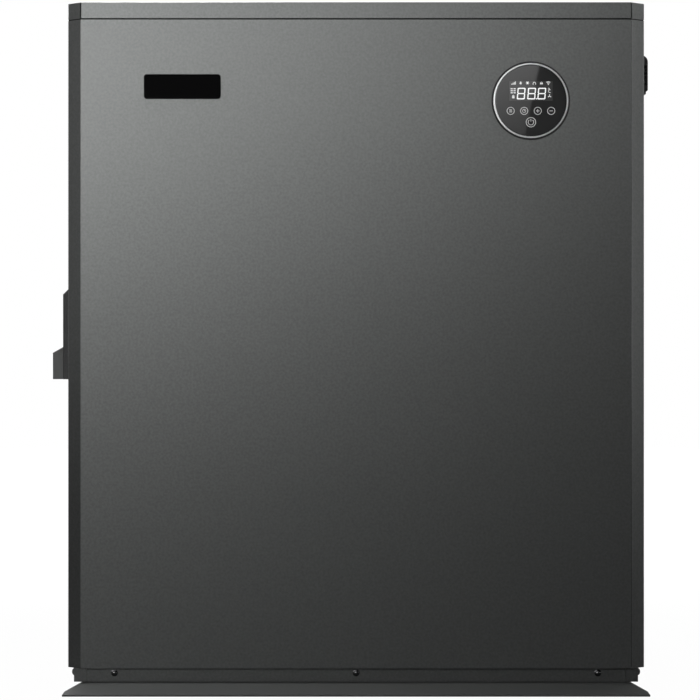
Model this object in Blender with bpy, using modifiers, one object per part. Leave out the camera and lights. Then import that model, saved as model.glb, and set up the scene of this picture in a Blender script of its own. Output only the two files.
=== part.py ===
"""A pool heat pump with a flat front and a fan in its lid, as separate pieces. Metres, +Z up, front at -Y."""

import math

import bmesh
import bpy
from mathutils import Matrix, Vector

# Driving dimensions of the casing
WIDTH = 0.720
DEPTH = 0.720
HEIGHT = 0.8572
CORNER = 0.017
SHEET = 0.0015
GAP = 0.0003
PANEL_BOTTOM = 0.0278
PANEL_TOP = 0.8356
LIP = 0.0135
RETURN = 0.036
SEAM = 0.0006
SIDE_SPLIT = -0.060
REAR_SPLIT = 0.100
WIRING_WINDOW = ((-0.270, 0.408), (-0.186, 0.484))
VENT_WINDOW = ((-0.285, 0.760), (-0.205, 0.785))
GUARD_SLOT_SPAN = (0.075, 0.790)
GUARD_SLOT_ROWS = 13
GUARD_SLOT = 0.028
GUARD_SLOT_WEB = 0.016
PAN_INSET = 0.008
PAN_CORNER = 0.002
PAN_BOTTOM = 0.0103
PAN_TOP = 0.0274
DRAIN_AT = (-0.100, 0.0195)

# Foot rails
FOOT_REACH = 0.066
FOOT_KINK_IN = 0.020
FOOT_KINK_HALF = 0.3588
FOOT_HEAD_HALF = 0.3430
FOOT_PLATE = 0.0022
FOOT_SKIN = 0.0016
FOOT_TUCK = 0.0005
FOOT_LAP = 0.001
FOOT_STEP = 0.00005
FOOT_ROOT_INSET = 0.079
FOOT_LEDGE = 0.050

# What stands out of the left and right sides, which sets the middle of the whole object
HOOD_OUT = 0.0250
COVER_OUT = 0.0107
VENT_OUT = 0.0090
COVER_SPAN = (-0.300, -0.150)
HOOD_SPAN = (-0.285, -0.215)
VENT_SPAN = (-0.300, -0.190)
CABLE_R = 0.0042

# Lid, fan and motor
LID_BOTTOM = 0.8374
LID_RETURN = 0.0165
FAN_OPENING_R = 0.287
SHROUD_R = 0.285
SHROUD_WALL = 0.0025
SHROUD_BOTTOM = 0.745
FAN_R = 0.272
HUB_R = 0.065
HUB_BOTTOM = 0.752
HUB_TOP = 0.822
BLADES = 3
SHAFT_R = 0.007
MOTOR_R = 0.062
MOTOR_BOTTOM = 0.640
GUARD_R = 0.300
GUARD_WIRE_R = 0.0022
GUARD_RISE = 0.020
GUARD_RINGS = 4
GUARD_HUB_R = 0.045
GUARD_SPOKES = 8

# Coil and refrigerant circuit
COIL_OUT = 0.340
COIL_THICK = 0.044
COIL_FACE = 0.004
COIL_BEND_R = 0.070
COIL_TUBE_R = 0.0048
COIL_BOTTOM = 0.0122
COIL_TOP = 0.736
COIL_FRONT_END = -0.040
COIL_RIGHT_END = 0.090
COMPRESSOR_AT = (0.140, -0.120)
COMPRESSOR_R = 0.062
ACCUMULATOR_AT = (0.035, -0.120)
DISCHARGE_Z = 0.375
SUCTION_Z = 0.325
VALVE_AT = (0.020, 0.050, 0.470)
VALVE_STUB_STEP = 0.035
HEADER_AT = (0.118, 0.318)
HEADER_FOOT = 0.300
EXPANSION_AT = (0.150, 0.318)
EXPANSION_FOOT = 0.200
EXPANSION_R = 0.015
LIQUID_Z = 0.100
LIQUID_END = 0.100

# Water circuit
EXCHANGER_AT = (0.205, 0.175)
EXCHANGER_R = 0.085
EXCHANGER_GAS_Z = 0.530
INLET_Z = 0.120
OUTLET_Z = 0.400
PORT_R = 0.030
PORT_BORE_R = 0.024
PORT_START = 0.300
PORT_END = 0.385
SOCKET_R = 0.025
TAIL_R = 0.0276
TAIL_END = 0.4215
SWITCH_Y = 0.328
SWITCH_STEM_R = 0.0100

# Controls and covers on the casing
DISPLAY_X = 0.2175
DISPLAY_Z = 0.7345
DISPLAY_R = 0.0475
DISPLAY_HOLE_R = 0.0425
GLASS_R = 0.0443
BADGE_SIZE = (0.0955, 0.0306)
BADGE_AT = (-0.2163, 0.7521)
SCREW_SPACING = 0.3015
SCREW_Z = 0.0214
SCREW_HEAD_R = 0.0043
SCREW_R = 0.0019
SCREW_HOLE_R = 0.0024

FRONT = -DEPTH / 2
REAR = DEPTH / 2
SIDE = WIDTH / 2
PAN_HALF = SIDE - PAN_INSET
PAN_FLOOR = PAN_BOTTOM + SHEET
SHIFT_X = (HOOD_OUT - VENT_OUT) / 2

COLOURS = {
    "charcoal_coat": ((0.060, 0.062, 0.061), 0.5, 0.4),
    "black_plastic": ((0.012, 0.012, 0.013), 0.5, 0.0),
    "black_paint": ((0.014, 0.014, 0.015), 0.4, 0.0),
    "grey_plastic": ((0.045, 0.046, 0.046), 0.55, 0.0),
    "glass": ((0.010, 0.011, 0.011), 0.06, 0.0),
    "chrome": ((0.75, 0.76, 0.77), 0.18, 1.0),
    "steel": ((0.45, 0.46, 0.47), 0.35, 1.0),
    "copper": ((0.64, 0.30, 0.17), 0.3, 1.0),
    "brass": ((0.60, 0.44, 0.18), 0.3, 1.0),
    "fins": ((0.10, 0.22, 0.34), 0.4, 0.6),
    "rubber": ((0.015, 0.015, 0.015), 0.8, 0.0),
    "white_plastic": ((0.62, 0.63, 0.62), 0.45, 0.0),
    "board": ((0.02, 0.13, 0.05), 0.5, 0.0),
}


def clear_scene():
    for obj in list(bpy.data.objects):
        bpy.data.objects.remove(obj)


def new_collection(name):
    collection = bpy.data.collections.new(name)
    bpy.context.scene.collection.children.link(collection)
    return collection


clear_scene()
UNIT = new_collection("pool_heat_pump")
CUTTERS = new_collection("cutters")
ANCHOR = bpy.data.objects.new("unit_anchor", None)
ANCHOR.location = (SHIFT_X, 0, 0)
UNIT.objects.link(ANCHOR)
MATERIALS = {}


def material(name):
    if name not in MATERIALS:
        colour, roughness, metallic = COLOURS[name]
        made = bpy.data.materials.new(name)
        made.use_nodes = True
        shader = made.node_tree.nodes["Principled BSDF"]
        shader.inputs["Base Color"].default_value = (*colour, 1)
        shader.inputs["Roughness"].default_value = roughness
        shader.inputs["Metallic"].default_value = metallic
        MATERIALS[name] = made
    return MATERIALS[name]


def add(name, data, finish=None, smooth=False):
    """An object of the unit, or a hidden helper where it has no finish."""
    obj = bpy.data.objects.new(name, data)
    obj.parent = ANCHOR
    if finish:
        UNIT.objects.link(obj)
        data.materials.append(material(finish))
    else:
        CUTTERS.objects.link(obj)
        obj.hide_render = True
        obj.display_type = "WIRE"
    if smooth:
        data.shade_smooth()
        data.set_sharp_from_angle(angle=math.radians(35))
    return obj


def mesh_of(bm, name):
    mesh = bpy.data.meshes.new(name)
    bmesh.ops.recalc_face_normals(bm, faces=bm.faces)
    bm.to_mesh(mesh)
    bm.free()
    return mesh


def box(name, low, high, finish=None):
    """A block between two corners."""
    bm = bmesh.new()
    bmesh.ops.create_cube(bm, size=1)
    size = Vector(high) - Vector(low)
    bmesh.ops.scale(bm, vec=size, verts=bm.verts)
    bmesh.ops.translate(bm, vec=Vector(low) + size / 2, verts=bm.verts)
    return add(name, mesh_of(bm, name), finish)


def cylinder(name, start, end, radius, finish=None, sides=24):
    """A round bar between two points."""
    start, end = Vector(start), Vector(end)
    bm = bmesh.new()
    bmesh.ops.create_cone(
        bm, cap_ends=True, segments=sides, radius1=radius, radius2=radius, depth=(end - start).length,
    )
    turn = Vector((0, 0, 1)).rotation_difference(end - start).to_matrix().to_4x4()
    bmesh.ops.transform(bm, matrix=Matrix.Translation((start + end) / 2) @ turn, verts=bm.verts)
    return add(name, mesh_of(bm, name), finish, smooth=True)


def prism(name, outline, low, high, finish=None, axis="Z"):
    """An outline raised from one level to another along Z, or along Y from points in X and Z."""
    bm = bmesh.new()
    if axis == "Z":
        verts = [bm.verts.new((x, y, low)) for x, y in outline]
        rise = (0, 0, high - low)
    else:
        verts = [bm.verts.new((x, low, z)) for x, z in outline]
        rise = (0, high - low, 0)
    face = bm.faces.new(verts)
    made = bmesh.ops.extrude_face_region(bm, geom=[face])
    top = [v for v in made["geom"] if isinstance(v, bmesh.types.BMVert)]
    bmesh.ops.translate(bm, vec=rise, verts=top)
    return add(name, mesh_of(bm, name), finish)


def turned(name, profile, finish=None, centre=(0, 0, 0), axis="Z", steps=32, ring=False):
    """A profile of (radius, height) points spun round an axis. A ring's profile is closed, off the axis."""
    mesh = bpy.data.meshes.new(name)
    edges = [(i, i + 1) for i in range(len(profile) - 1)]
    if ring:
        edges.append((len(profile) - 1, 0))
    mesh.from_pydata([(r, 0, h) for r, h in profile], edges, [])
    obj = add(name, mesh, finish)
    obj.location = centre
    if axis == "Y":
        obj.rotation_euler = (-math.pi / 2, 0, 0)
    spin = obj.modifiers.new("spin", "SCREW")
    spin.steps = steps
    spin.render_steps = steps
    spin.use_merge_vertices = True
    spin.merge_threshold = 0.00005
    spin.use_smooth_shade = True
    return obj


def folded(name, path, low, high, thickness, finish=None):
    """A sheet standing on a path in plan, with its thickness to the left of the way that the path runs."""
    bm = bmesh.new()
    feet = [bm.verts.new((x, y, low)) for x, y in path]
    edges = [bm.edges.new(pair) for pair in zip(feet, feet[1:])]
    made = bmesh.ops.extrude_edge_only(bm, edges=edges)
    raised = [v for v in made["geom"] if isinstance(v, bmesh.types.BMVert)]
    bmesh.ops.translate(bm, vec=(0, 0, high - low), verts=raised)
    start, end = Vector((*path[0], 0)), Vector((*path[1], 0))
    outward = (end - start).cross(Vector((0, 0, 1)))
    bm.normal_update()
    first_face = next(f for f in bm.faces if feet[0] in f.verts and feet[1] in f.verts)
    if first_face.normal.dot(outward) < 0:
        bmesh.ops.reverse_faces(bm, faces=bm.faces)
    mesh = bpy.data.meshes.new(name)
    bm.to_mesh(mesh)
    bm.free()
    obj = add(name, mesh, finish)
    wall = obj.modifiers.new("sheet", "SOLIDIFY")
    wall.thickness = thickness
    wall.offset = -1
    wall.use_even_offset = True
    return obj


def bent_route(corners, radius, points_per_bend=4):
    """The corners of a bent tube with each inner one replaced by an arc."""
    corners = [Vector(c) for c in corners]
    route = [corners[0]]
    for before, here, after in zip(corners, corners[1:], corners[2:]):
        back, ahead = (before - here).normalized(), (after - here).normalized()
        half = back.angle(ahead) / 2
        middle = here + (back + ahead).normalized() * radius / math.sin(half)
        reach = radius / math.tan(half)
        first = here + back * reach - middle
        last = here + ahead * reach - middle
        for i in range(points_per_bend + 1):
            route.append(middle + first.normalized().slerp(last.normalized(), i / points_per_bend) * radius)
    route.append(corners[-1])
    return route


def tube(name, route, radius, finish=None, closed=False, resolution=1):
    """A solid round bar along a route, made a mesh with its caps welded."""
    curve = bpy.data.curves.new(name, "CURVE")
    curve.dimensions = "3D"
    curve.bevel_depth = radius
    curve.bevel_resolution = resolution
    curve.use_fill_caps = True
    spline = curve.splines.new("POLY")
    spline.points.add(len(route) - 1)
    for point, place in zip(spline.points, route):
        point.co = (*place, 1)
    spline.use_cyclic_u = closed
    guide = bpy.data.objects.new(name + "_guide", curve)
    CUTTERS.objects.link(guide)
    graph = bpy.context.evaluated_depsgraph_get()
    mesh = bpy.data.meshes.new_from_object(guide.evaluated_get(graph))
    bpy.data.objects.remove(guide)
    bm = bmesh.new()
    bm.from_mesh(mesh)
    bmesh.ops.remove_doubles(bm, verts=bm.verts, dist=0.00002)
    bpy.data.meshes.remove(mesh)
    return add(name, mesh_of(bm, name), finish, smooth=True)


def combine(target, helper, operation):
    step = target.modifiers.new(helper.name, "BOOLEAN")
    step.operation = operation
    step.object = helper


def join(target, *helpers):
    for helper in helpers:
        combine(target, helper, "UNION")
    return target


def cut(target, *helpers):
    for helper in helpers:
        combine(target, helper, "DIFFERENCE")
    return target


def pivot_at(obj, point):
    """The object's origin moved to a point on the axis that it turns about."""
    obj.data.transform(Matrix.Translation(-Vector(point)))
    obj.location = point


def octagon(half_x, half_y, leg):
    """A rectangle in plan with its four corners cut at 45 degrees."""
    return [
        (-half_x, half_y - leg), (-half_x, leg - half_y), (leg - half_x, -half_y), (half_x - leg, -half_y),
        (half_x, leg - half_y), (half_x, half_y - leg), (half_x - leg, half_y), (leg - half_x, half_y),
    ]


def inset_octagon(inset):
    """The casing's outline moved in all round."""
    leg = CORNER - inset * (2 - math.sqrt(2))
    return octagon(SIDE - inset, REAR - inset, max(leg, 0.004))


def slot_rows(name, low, high, along):
    """One helper made of two columns of slots through a wall. along is 0 for slots along X, 1 along Y."""
    bm = bmesh.new()
    span = (high[along] - low[along] - GUARD_SLOT_WEB) / 2
    step = (high[2] - low[2] - GUARD_SLOT) / (GUARD_SLOT_ROWS - 1)
    for row in range(GUARD_SLOT_ROWS):
        for column in range(2):
            made = bmesh.ops.create_cube(bm, size=1)["verts"]
            size = [high[0] - low[0], high[1] - low[1], GUARD_SLOT]
            size[along] = span
            corner = [low[0], low[1], low[2] + row * step]
            corner[along] = low[along] + column * (span + GUARD_SLOT_WEB)
            bmesh.ops.scale(bm, vec=size, verts=made)
            bmesh.ops.translate(bm, vec=Vector(corner) + Vector(size) / 2, verts=made)
    return add(name, mesh_of(bm, name))


def base_pan():
    pan = prism("base_pan", octagon(PAN_HALF, PAN_HALF, PAN_CORNER), PAN_BOTTOM, PAN_TOP, "charcoal_coat")
    hollow = octagon(PAN_HALF - SHEET, PAN_HALF - SHEET, PAN_CORNER - SHEET * 0.6)
    cut(pan, prism("pan_hollow", hollow, PAN_FLOOR, PAN_TOP + SHEET))
    for side in (-1, 0, 1):
        at = side * SCREW_SPACING
        ends = (at, -PAN_HALF - 0.002, SCREW_Z), (at, -PAN_HALF + 0.004, SCREW_Z)
        cut(pan, cylinder(f"pan_screw_hole_{side + 1}", *ends, SCREW_HOLE_R, sides=12))
    x, z = DRAIN_AT
    cut(pan, cylinder("pan_drain_hole", (x, PAN_HALF - 0.006, z), (x, PAN_HALF + 0.004, z), 0.0062, sides=16))
    outer, neck, bore, length = 0.0080, 0.0058, 0.0042, 0.0305
    spout = [(outer, length), (outer, GAP), (neck, GAP), (neck, -0.006), (bore, -0.006), (bore, length)]
    turned("drain_spout", spout, "black_plastic", (x, PAN_HALF, z), "Y", steps=16, ring=True)


def foot_ramp(name, stations):
    """A sheet that climbs through stations of (y, half width, level of its top)."""
    bm = bmesh.new()
    rings = []
    for y, half, level in stations:
        corners = (-half, level), (half, level), (half, level - FOOT_SKIN), (-half, level - FOOT_SKIN)
        rings.append([bm.verts.new((x, y, z)) for x, z in corners])
    for ring, following in zip(rings, rings[1:]):
        for i in range(4):
            bm.faces.new((ring[i], ring[i - 1], following[i - 1], following[i]))
    bm.faces.new(rings[0])
    bm.faces.new(rings[-1])
    return add(name, mesh_of(bm, name))


def foot_rail(name, side):
    """A floor plate with a ramp up to the pan, a web and a ledge. side is -1 in front and 1 behind."""
    outer = side * (REAR + FOOT_REACH)
    kink = outer - side * FOOT_KINK_IN
    head = side * PAN_HALF
    root = side * (REAR - FOOT_ROOT_INSET)
    top = PAN_BOTTOM - GAP
    right = [(SIDE, outer), (FOOT_KINK_HALF, kink), (FOOT_HEAD_HALF, head), (FOOT_HEAD_HALF, root)]
    left = [(-x, y) for x, y in reversed(right)]
    rail = prism(name, right + left, 0, FOOT_PLATE, "charcoal_coat")
    web_low, web_high = sorted((root + side * FOOT_PLATE / 2, root - side * FOOT_PLATE))
    web = box(name + "_web", (-FOOT_HEAD_HALF, web_low, 0), (FOOT_HEAD_HALF, web_high, top))
    ledge_low, ledge_high = sorted((head, root - side * FOOT_LEDGE))
    half = FOOT_HEAD_HALF - FOOT_TUCK
    ledge = box(name + "_ledge", (-half, ledge_low, top - FOOT_PLATE), (half, ledge_high, top - FOOT_STEP))
    foot_at, head_at = outer - side * FOOT_LAP, head - side * FOOT_LAP
    foot_level, head_level = FOOT_PLATE - GAP, top - 2 * FOOT_STEP
    rise = (head_level - foot_level) / (head_at - foot_at)
    ramp = foot_ramp(name + "_ramp", [
        (foot_at, SIDE - FOOT_TUCK, foot_level),
        (kink, FOOT_KINK_HALF - FOOT_TUCK, foot_level + rise * (kink - foot_at)),
        (head_at, half - FOOT_TUCK, head_level),
    ])
    join(rail, web, ledge, ramp)


def flat_panel(name, path, finish="charcoal_coat"):
    """A wall standing on a path in plan, with a lip turned in along its foot and its head."""
    wall = folded(name, path, PANEL_BOTTOM, PANEL_TOP, SHEET, finish)
    longest = max(zip(path, path[1:]), key=lambda pair: (Vector(pair[1]) - Vector(pair[0])).length)
    start, end = Vector(longest[0]), Vector(longest[1])
    along = (end - start).normalized()
    inward = Vector((-along.y, along.x))
    first = start + along * 0.002 + inward * SHEET / 2
    last = end - along * 0.002 + inward * LIP
    low, high = [min(a, b) for a, b in zip(first, last)], [max(a, b) for a, b in zip(first, last)]
    foot = box(name + "_foot_lip", (*low, PANEL_BOTTOM), (*high, PANEL_BOTTOM + SHEET))
    head = box(name + "_head_lip", (*low, PANEL_TOP - SHEET), (*high, PANEL_TOP))
    return join(wall, foot, head)


def front_panel():
    """The front with its two chamfers, hooked over the pan's edge by a tab that takes the base screws."""
    front = flat_panel("front_panel", [
        (-SIDE, FRONT + RETURN), (-SIDE, FRONT + CORNER), (CORNER - SIDE, FRONT), (SIDE - CORNER, FRONT),
        (SIDE, FRONT + CORNER), (SIDE, FRONT + RETURN),
    ])
    half, foot = 0.330, 0.0140
    tab_y = -PAN_HALF + SHEET + GAP
    back = tab_y + SHEET
    tab = box("front_panel_tab", (-half, tab_y, foot), (half, back, PANEL_BOTTOM + SHEET))
    shy = SHEET / 15
    lip_low = (-half, FRONT + LIP / 2, PANEL_BOTTOM + shy)
    lip_high = (half, back, PANEL_BOTTOM + SHEET - shy)
    join(front, box("front_panel_deep_lip", lip_low, lip_high), tab)
    x, z = DISPLAY_X, DISPLAY_Z
    ends = (x, FRONT - 0.01, z), (x, FRONT + 0.012, z)
    cut(front, cylinder("display_hole", *ends, DISPLAY_HOLE_R, sides=32))
    for side in (-1, 0, 1):
        x, z = side * SCREW_SPACING, SCREW_Z
        ends = (x, tab_y - 0.0005, z), (x, back + 0.002, z)
        cut(front, cylinder(f"tab_screw_hole_{side + 1}", *ends, SCREW_HOLE_R, sides=12))


def side_and_rear_panels():
    left = flat_panel("left_panel", [(-SIDE, SIDE_SPLIT), (-SIDE, FRONT + RETURN + SEAM)])
    low, high = WIRING_WINDOW
    cut(left, box("left_wiring_window", (-SIDE - 0.01, *low), (-SIDE + 0.01, *high)))
    right = flat_panel("right_panel", [(SIDE, FRONT + RETURN + SEAM), (SIDE, REAR - RETURN - SEAM)])
    low, high = VENT_WINDOW
    cut(right, box("right_vent_window", (SIDE - 0.01, *low), (SIDE + 0.01, *high)))

    service = flat_panel("rear_service_panel", [
        (SIDE, REAR - RETURN), (SIDE, REAR - CORNER), (SIDE - CORNER, REAR), (REAR_SPLIT, REAR),
    ])
    for label, height in (("inlet", INLET_Z), ("outlet", OUTLET_Z)):
        x = EXCHANGER_AT[0]
        ends = (x, REAR - 0.01, height), (x, REAR + 0.01, height)
        cut(service, cylinder(f"{label}_port_hole", *ends, PORT_R + 0.004))

    left_guard = flat_panel("left_coil_guard", [(-SIDE, REAR - RETURN - SEAM), (-SIDE, SIDE_SPLIT + SEAM)])
    foot, head = GUARD_SLOT_SPAN
    margin = 0.030
    low = (-SIDE - 0.004, SIDE_SPLIT + margin, foot)
    high = (-SIDE + 0.004, REAR - RETURN - margin, head)
    cut(left_guard, slot_rows("left_guard_slots", low, high, along=1))
    rear_guard = flat_panel("rear_coil_guard", [
        (REAR_SPLIT - SEAM, REAR), (CORNER - SIDE, REAR), (-SIDE, REAR - CORNER), (-SIDE, REAR - RETURN),
    ])
    low = (RETURN + margin - SIDE, REAR - 0.004, foot)
    high = (REAR_SPLIT - margin, REAR + 0.004, head)
    cut(rear_guard, slot_rows("rear_guard_slots", low, high, along=0))


def lid():
    cover = prism("top_cover", inset_octagon(0), LID_BOTTOM, HEIGHT, "charcoal_coat")
    cut(cover, prism("lid_hollow", inset_octagon(SHEET), LID_BOTTOM + SHEET, HEIGHT - SHEET))
    cut(cover, prism("lid_mouth", inset_octagon(LID_RETURN), LID_BOTTOM - 0.01, LID_BOTTOM + 0.004))
    ends = (0, 0, HEIGHT - 0.01), (0, 0, HEIGHT + 0.01)
    cut(cover, cylinder("lid_fan_hole", *ends, FAN_OPENING_R, sides=40))
    seal = prism("lid_seal", inset_octagon(0.0016), PANEL_TOP + GAP, LID_BOTTOM - GAP, "rubber")
    cut(seal, prism("seal_mouth", inset_octagon(LIP), PANEL_TOP - 0.01, LID_BOTTOM + 0.01))


def shroud_and_bracket():
    top = HEIGHT - SHEET - GAP
    wall = SHROUD_R + SHROUD_WALL
    flange, rim, flare = SHROUD_R + 0.024, SHROUD_R + 0.016, 0.006
    profile = [
        (flange, top), (flange, top - SHROUD_WALL), (wall + flare, top - SHROUD_WALL),
        (wall, top - 2 * flare), (wall, SHROUD_BOTTOM + SHROUD_WALL), (rim, SHROUD_BOTTOM + SHROUD_WALL),
        (rim, SHROUD_BOTTOM), (SHROUD_R, SHROUD_BOTTOM), (SHROUD_R, top - 0.013), (SHROUD_R + flare, top),
    ]
    turned("fan_shroud", profile, "black_plastic", steps=32, ring=True)
    arm_top = SHROUD_BOTTOM - GAP
    arm_bottom = arm_top - 0.004
    plate_r, shaft_hole_r = 0.085, 0.022
    plate = cylinder("motor_bracket", (0, 0, arm_bottom), (0, 0, arm_top), plate_r, "steel", sides=24)
    for i in range(4):
        arm = box(f"bracket_arm_{i}", (0.070, -0.013, arm_bottom + 0.0001), (0.2985, 0.013, arm_top - 0.0001))
        rib = box(f"bracket_rib_{i}", (0.082, -0.002, arm_bottom - 0.018), (0.283, 0.002, arm_bottom + 0.002))
        arm.rotation_euler.z = rib.rotation_euler.z = math.radians(45 + 90 * i)
        join(plate, arm, rib)
    ends = (0, 0, arm_bottom - 0.03), (0, 0, arm_top + 0.03)
    cut(plate, cylinder("bracket_shaft_hole", *ends, shaft_hole_r, sides=20))
    return arm_bottom


def motor(face):
    """An inner-rotor motor hung from the bracket: its face is the bracket's underside."""
    top = face - GAP
    wall_r, boss_r, seat_r, hole_r = 0.058, 0.0225, 0.0165, 0.010
    shell = [
        (MOTOR_R, top), (MOTOR_R, MOTOR_BOTTOM + 0.006), (wall_r, MOTOR_BOTTOM + 0.006),
        (wall_r, top - 0.006), (boss_r, top - 0.006), (boss_r, top - 0.014), (seat_r, top - 0.014),
        (seat_r, top - 0.003), (hole_r, top - 0.003), (hole_r, top),
    ]
    turned("motor_housing", shell, "steel", steps=20, ring=True)
    low = MOTOR_BOTTOM
    cap = [
        (0, low + 0.003), (seat_r, low + 0.003), (seat_r, low + 0.014), (boss_r, low + 0.014),
        (boss_r, low + 0.0057), (MOTOR_R, low + 0.0057), (MOTOR_R, low), (0, low),
    ]
    turned("motor_end_cap", cap, "steel", steps=20)
    rotor_r = 0.033
    stator_out, stator_in = wall_r - GAP, rotor_r + 0.001
    head, foot = top - 0.020, low + 0.020
    stator = [(stator_out, head), (stator_out, foot), (stator_in, foot), (stator_in, head)]
    turned("motor_stator", stator, "copper", steps=20, ring=True)
    shaft_top, shaft_foot = HUB_TOP + 0.006, low + 0.004
    rotor = [
        (0, shaft_top), (SHAFT_R, shaft_top), (SHAFT_R, head + 0.002), (rotor_r, head - 0.002),
        (rotor_r, foot + 0.002), (SHAFT_R, foot - 0.002), (SHAFT_R, shaft_foot), (0, shaft_foot),
    ]
    turned("motor_rotor", rotor, "steel", steps=20)
    race_r, bore = seat_r - GAP, SHAFT_R + 0.0006
    for name, start in (("upper_bearing", top - 0.0135), ("lower_bearing", low + 0.0035)):
        end = start + 0.010
        ring = [(race_r, end), (race_r, start), (bore, start), (bore, end)]
        turned(name, ring, "steel", steps=16, ring=True)


def fan():
    inside, boss, boss_foot = HUB_R - 0.007, 0.018, HUB_BOTTOM + 0.006
    hub = [
        (0, HUB_TOP), (0.040, HUB_TOP), (HUB_R, HUB_TOP - 0.012), (HUB_R, HUB_BOTTOM), (inside, HUB_BOTTOM),
        (inside, HUB_TOP - 0.016), (boss, HUB_TOP - 0.010), (boss, boss_foot), (0, boss_foot),
    ]
    impeller = turned("fan_impeller", hub, "black_plastic", steps=24)
    for i in range(BLADES):
        join(impeller, blade(f"fan_blade_{i}", math.radians(360 / BLADES * i)))
    bore = SHAFT_R + 0.0004
    cut(impeller, cylinder("hub_bore", (0, 0, HUB_BOTTOM - 0.03), (0, 0, HUB_TOP + 0.03), bore, sides=24))
    nut = [
        (0, HUB_TOP + 0.012), (0.008, HUB_TOP + 0.010), (0.0115, HUB_TOP + 0.006), (0.0115, HUB_TOP + GAP),
        (bore, HUB_TOP + GAP), (bore, HUB_TOP + 0.0075), (0, HUB_TOP + 0.0075),
    ]
    turned("fan_nut", nut, "steel", steps=12)


def blade(name, turn):
    """A wide swept blade, lower at the edge that leads as the fan turns anticlockwise seen from above."""
    spans, chords = 4, 5
    root, tip = HUB_R - 0.004, FAN_R
    bm = bmesh.new()
    rows = []
    for i in range(spans + 1):
        share = i / spans
        radius = root + (tip - root) * share
        half_angle = math.radians(44 - 6 * share)
        sweep = math.radians(22) * share
        rise = 0.050 - 0.020 * share
        row = []
        for j in range(chords + 1):
            across = 2 * j / chords - 1
            angle = turn + sweep + half_angle * across
            level = 0.787 - rise / 2 * across + 0.006 * (1 - across * across)
            row.append(bm.verts.new((radius * math.cos(angle), radius * math.sin(angle), level)))
        rows.append(row)
    for inner, outer in zip(rows, rows[1:]):
        for j in range(chords):
            bm.faces.new((inner[j], outer[j], outer[j + 1], inner[j + 1]))
    mesh = bpy.data.meshes.new(name)
    bm.to_mesh(mesh)
    bm.free()
    obj = add(name, mesh)
    wall = obj.modifiers.new("thickness", "SOLIDIFY")
    wall.thickness = 0.0035
    wall.offset = 0
    return obj


def guard_height(radius):
    return HEIGHT + GAP + GUARD_WIRE_R + GUARD_RISE * (1 - (radius / GUARD_R) ** 2)


def fan_guard():
    """Domed wire rings on straight spokes, with a disc at the middle."""
    disc_z, half = guard_height(GUARD_HUB_R), 0.003
    ends = (0, 0, disc_z - half), (0, 0, disc_z + half)
    disc = cylinder("fan_guard", *ends, GUARD_HUB_R, "black_paint", sides=20)
    sides = 24
    turns = [math.tau * k / sides for k in range(sides)]
    for i in range(GUARD_RINGS):
        radius = GUARD_R - (GUARD_R - GUARD_HUB_R) * i / GUARD_RINGS
        circle = [(radius * math.cos(a), radius * math.sin(a), guard_height(radius)) for a in turns]
        join(disc, tube(f"guard_ring_{i}", circle, GUARD_WIRE_R, closed=True, resolution=0))
    root = GUARD_HUB_R * 0.7
    reaches = [root + (GUARD_R - root) * k / 6 for k in range(7)]
    for i in range(GUARD_SPOKES):
        angle = math.tau * (i + 0.37) / GUARD_SPOKES
        spoke = [(r * math.cos(angle), r * math.sin(angle), guard_height(r) + 0.0003) for r in reaches]
        join(disc, tube(f"guard_spoke_{i}", spoke, GUARD_WIRE_R * 1.1, resolution=0))


def wiring_cover():
    """A cover over the terminals on the left, with a hood on it where the cable comes in from below."""
    face = -SIDE - GAP
    cover_x = -SIDE - COVER_OUT
    low_z, high_z = 0.3872, 0.5013
    start, end = COVER_SPAN
    shoulder, ledge = high_z - 0.007, 0.0035
    profile = [(face, low_z), (face, high_z), (face - ledge, high_z), (cover_x, shoulder), (cover_x, low_z)]
    cover = prism("wiring_cover", profile, start, end, "black_plastic", axis="Y")
    wall = 0.0022
    inside, top = cover_x + wall, high_z - wall
    past = face + 0.01
    hollow = [
        (past, low_z + wall), (past, top), (face - ledge + 0.001, top), (inside, shoulder - 0.001),
        (inside, low_z + wall),
    ]
    cut(cover, prism("cover_hollow", hollow, start + wall, end - wall, axis="Y"))
    cut(cover, box("cover_window", (cover_x - 0.01, -0.275, 0.394), (cover_x + 0.01, -0.225, 0.416)))

    hood_x = -SIDE - HOOD_OUT
    back = cover_x - GAP
    shoulder, crown = 0.4205, 0.4285
    outer = [(back, low_z), (back, crown), (hood_x, shoulder), (hood_x, low_z)]
    start, end = HOOD_SPAN
    hood = prism("cable_hood", outer, start, end, "grey_plastic", axis="Y")
    inner = [
        (back + 0.01, low_z + wall), (back + 0.01, crown - 0.001), (back - 0.001, crown - 0.003),
        (hood_x + wall, shoulder - 0.0015), (hood_x + wall, low_z + wall),
    ]
    cut(hood, prism("hood_hollow", inner, start + wall, end - wall, axis="Y"))
    x, y = (hood_x + wall + back) / 2, (start + end) / 2
    cut(hood, cylinder("cable_hole", (x, y, low_z - 0.01), (x, y, low_z + 0.01), CABLE_R + 0.0010, sides=16))
    neck, flange, foot = CABLE_R + 0.0007, CABLE_R + 0.0015, GAP - wall
    grommet = [(flange, 0.0035), (flange, GAP), (neck, GAP), (neck, foot), (CABLE_R, foot), (CABLE_R, 0.0035)]
    turned("cable_grommet", grommet, "rubber", (x, y, low_z + wall), steps=16, ring=True)


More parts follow.
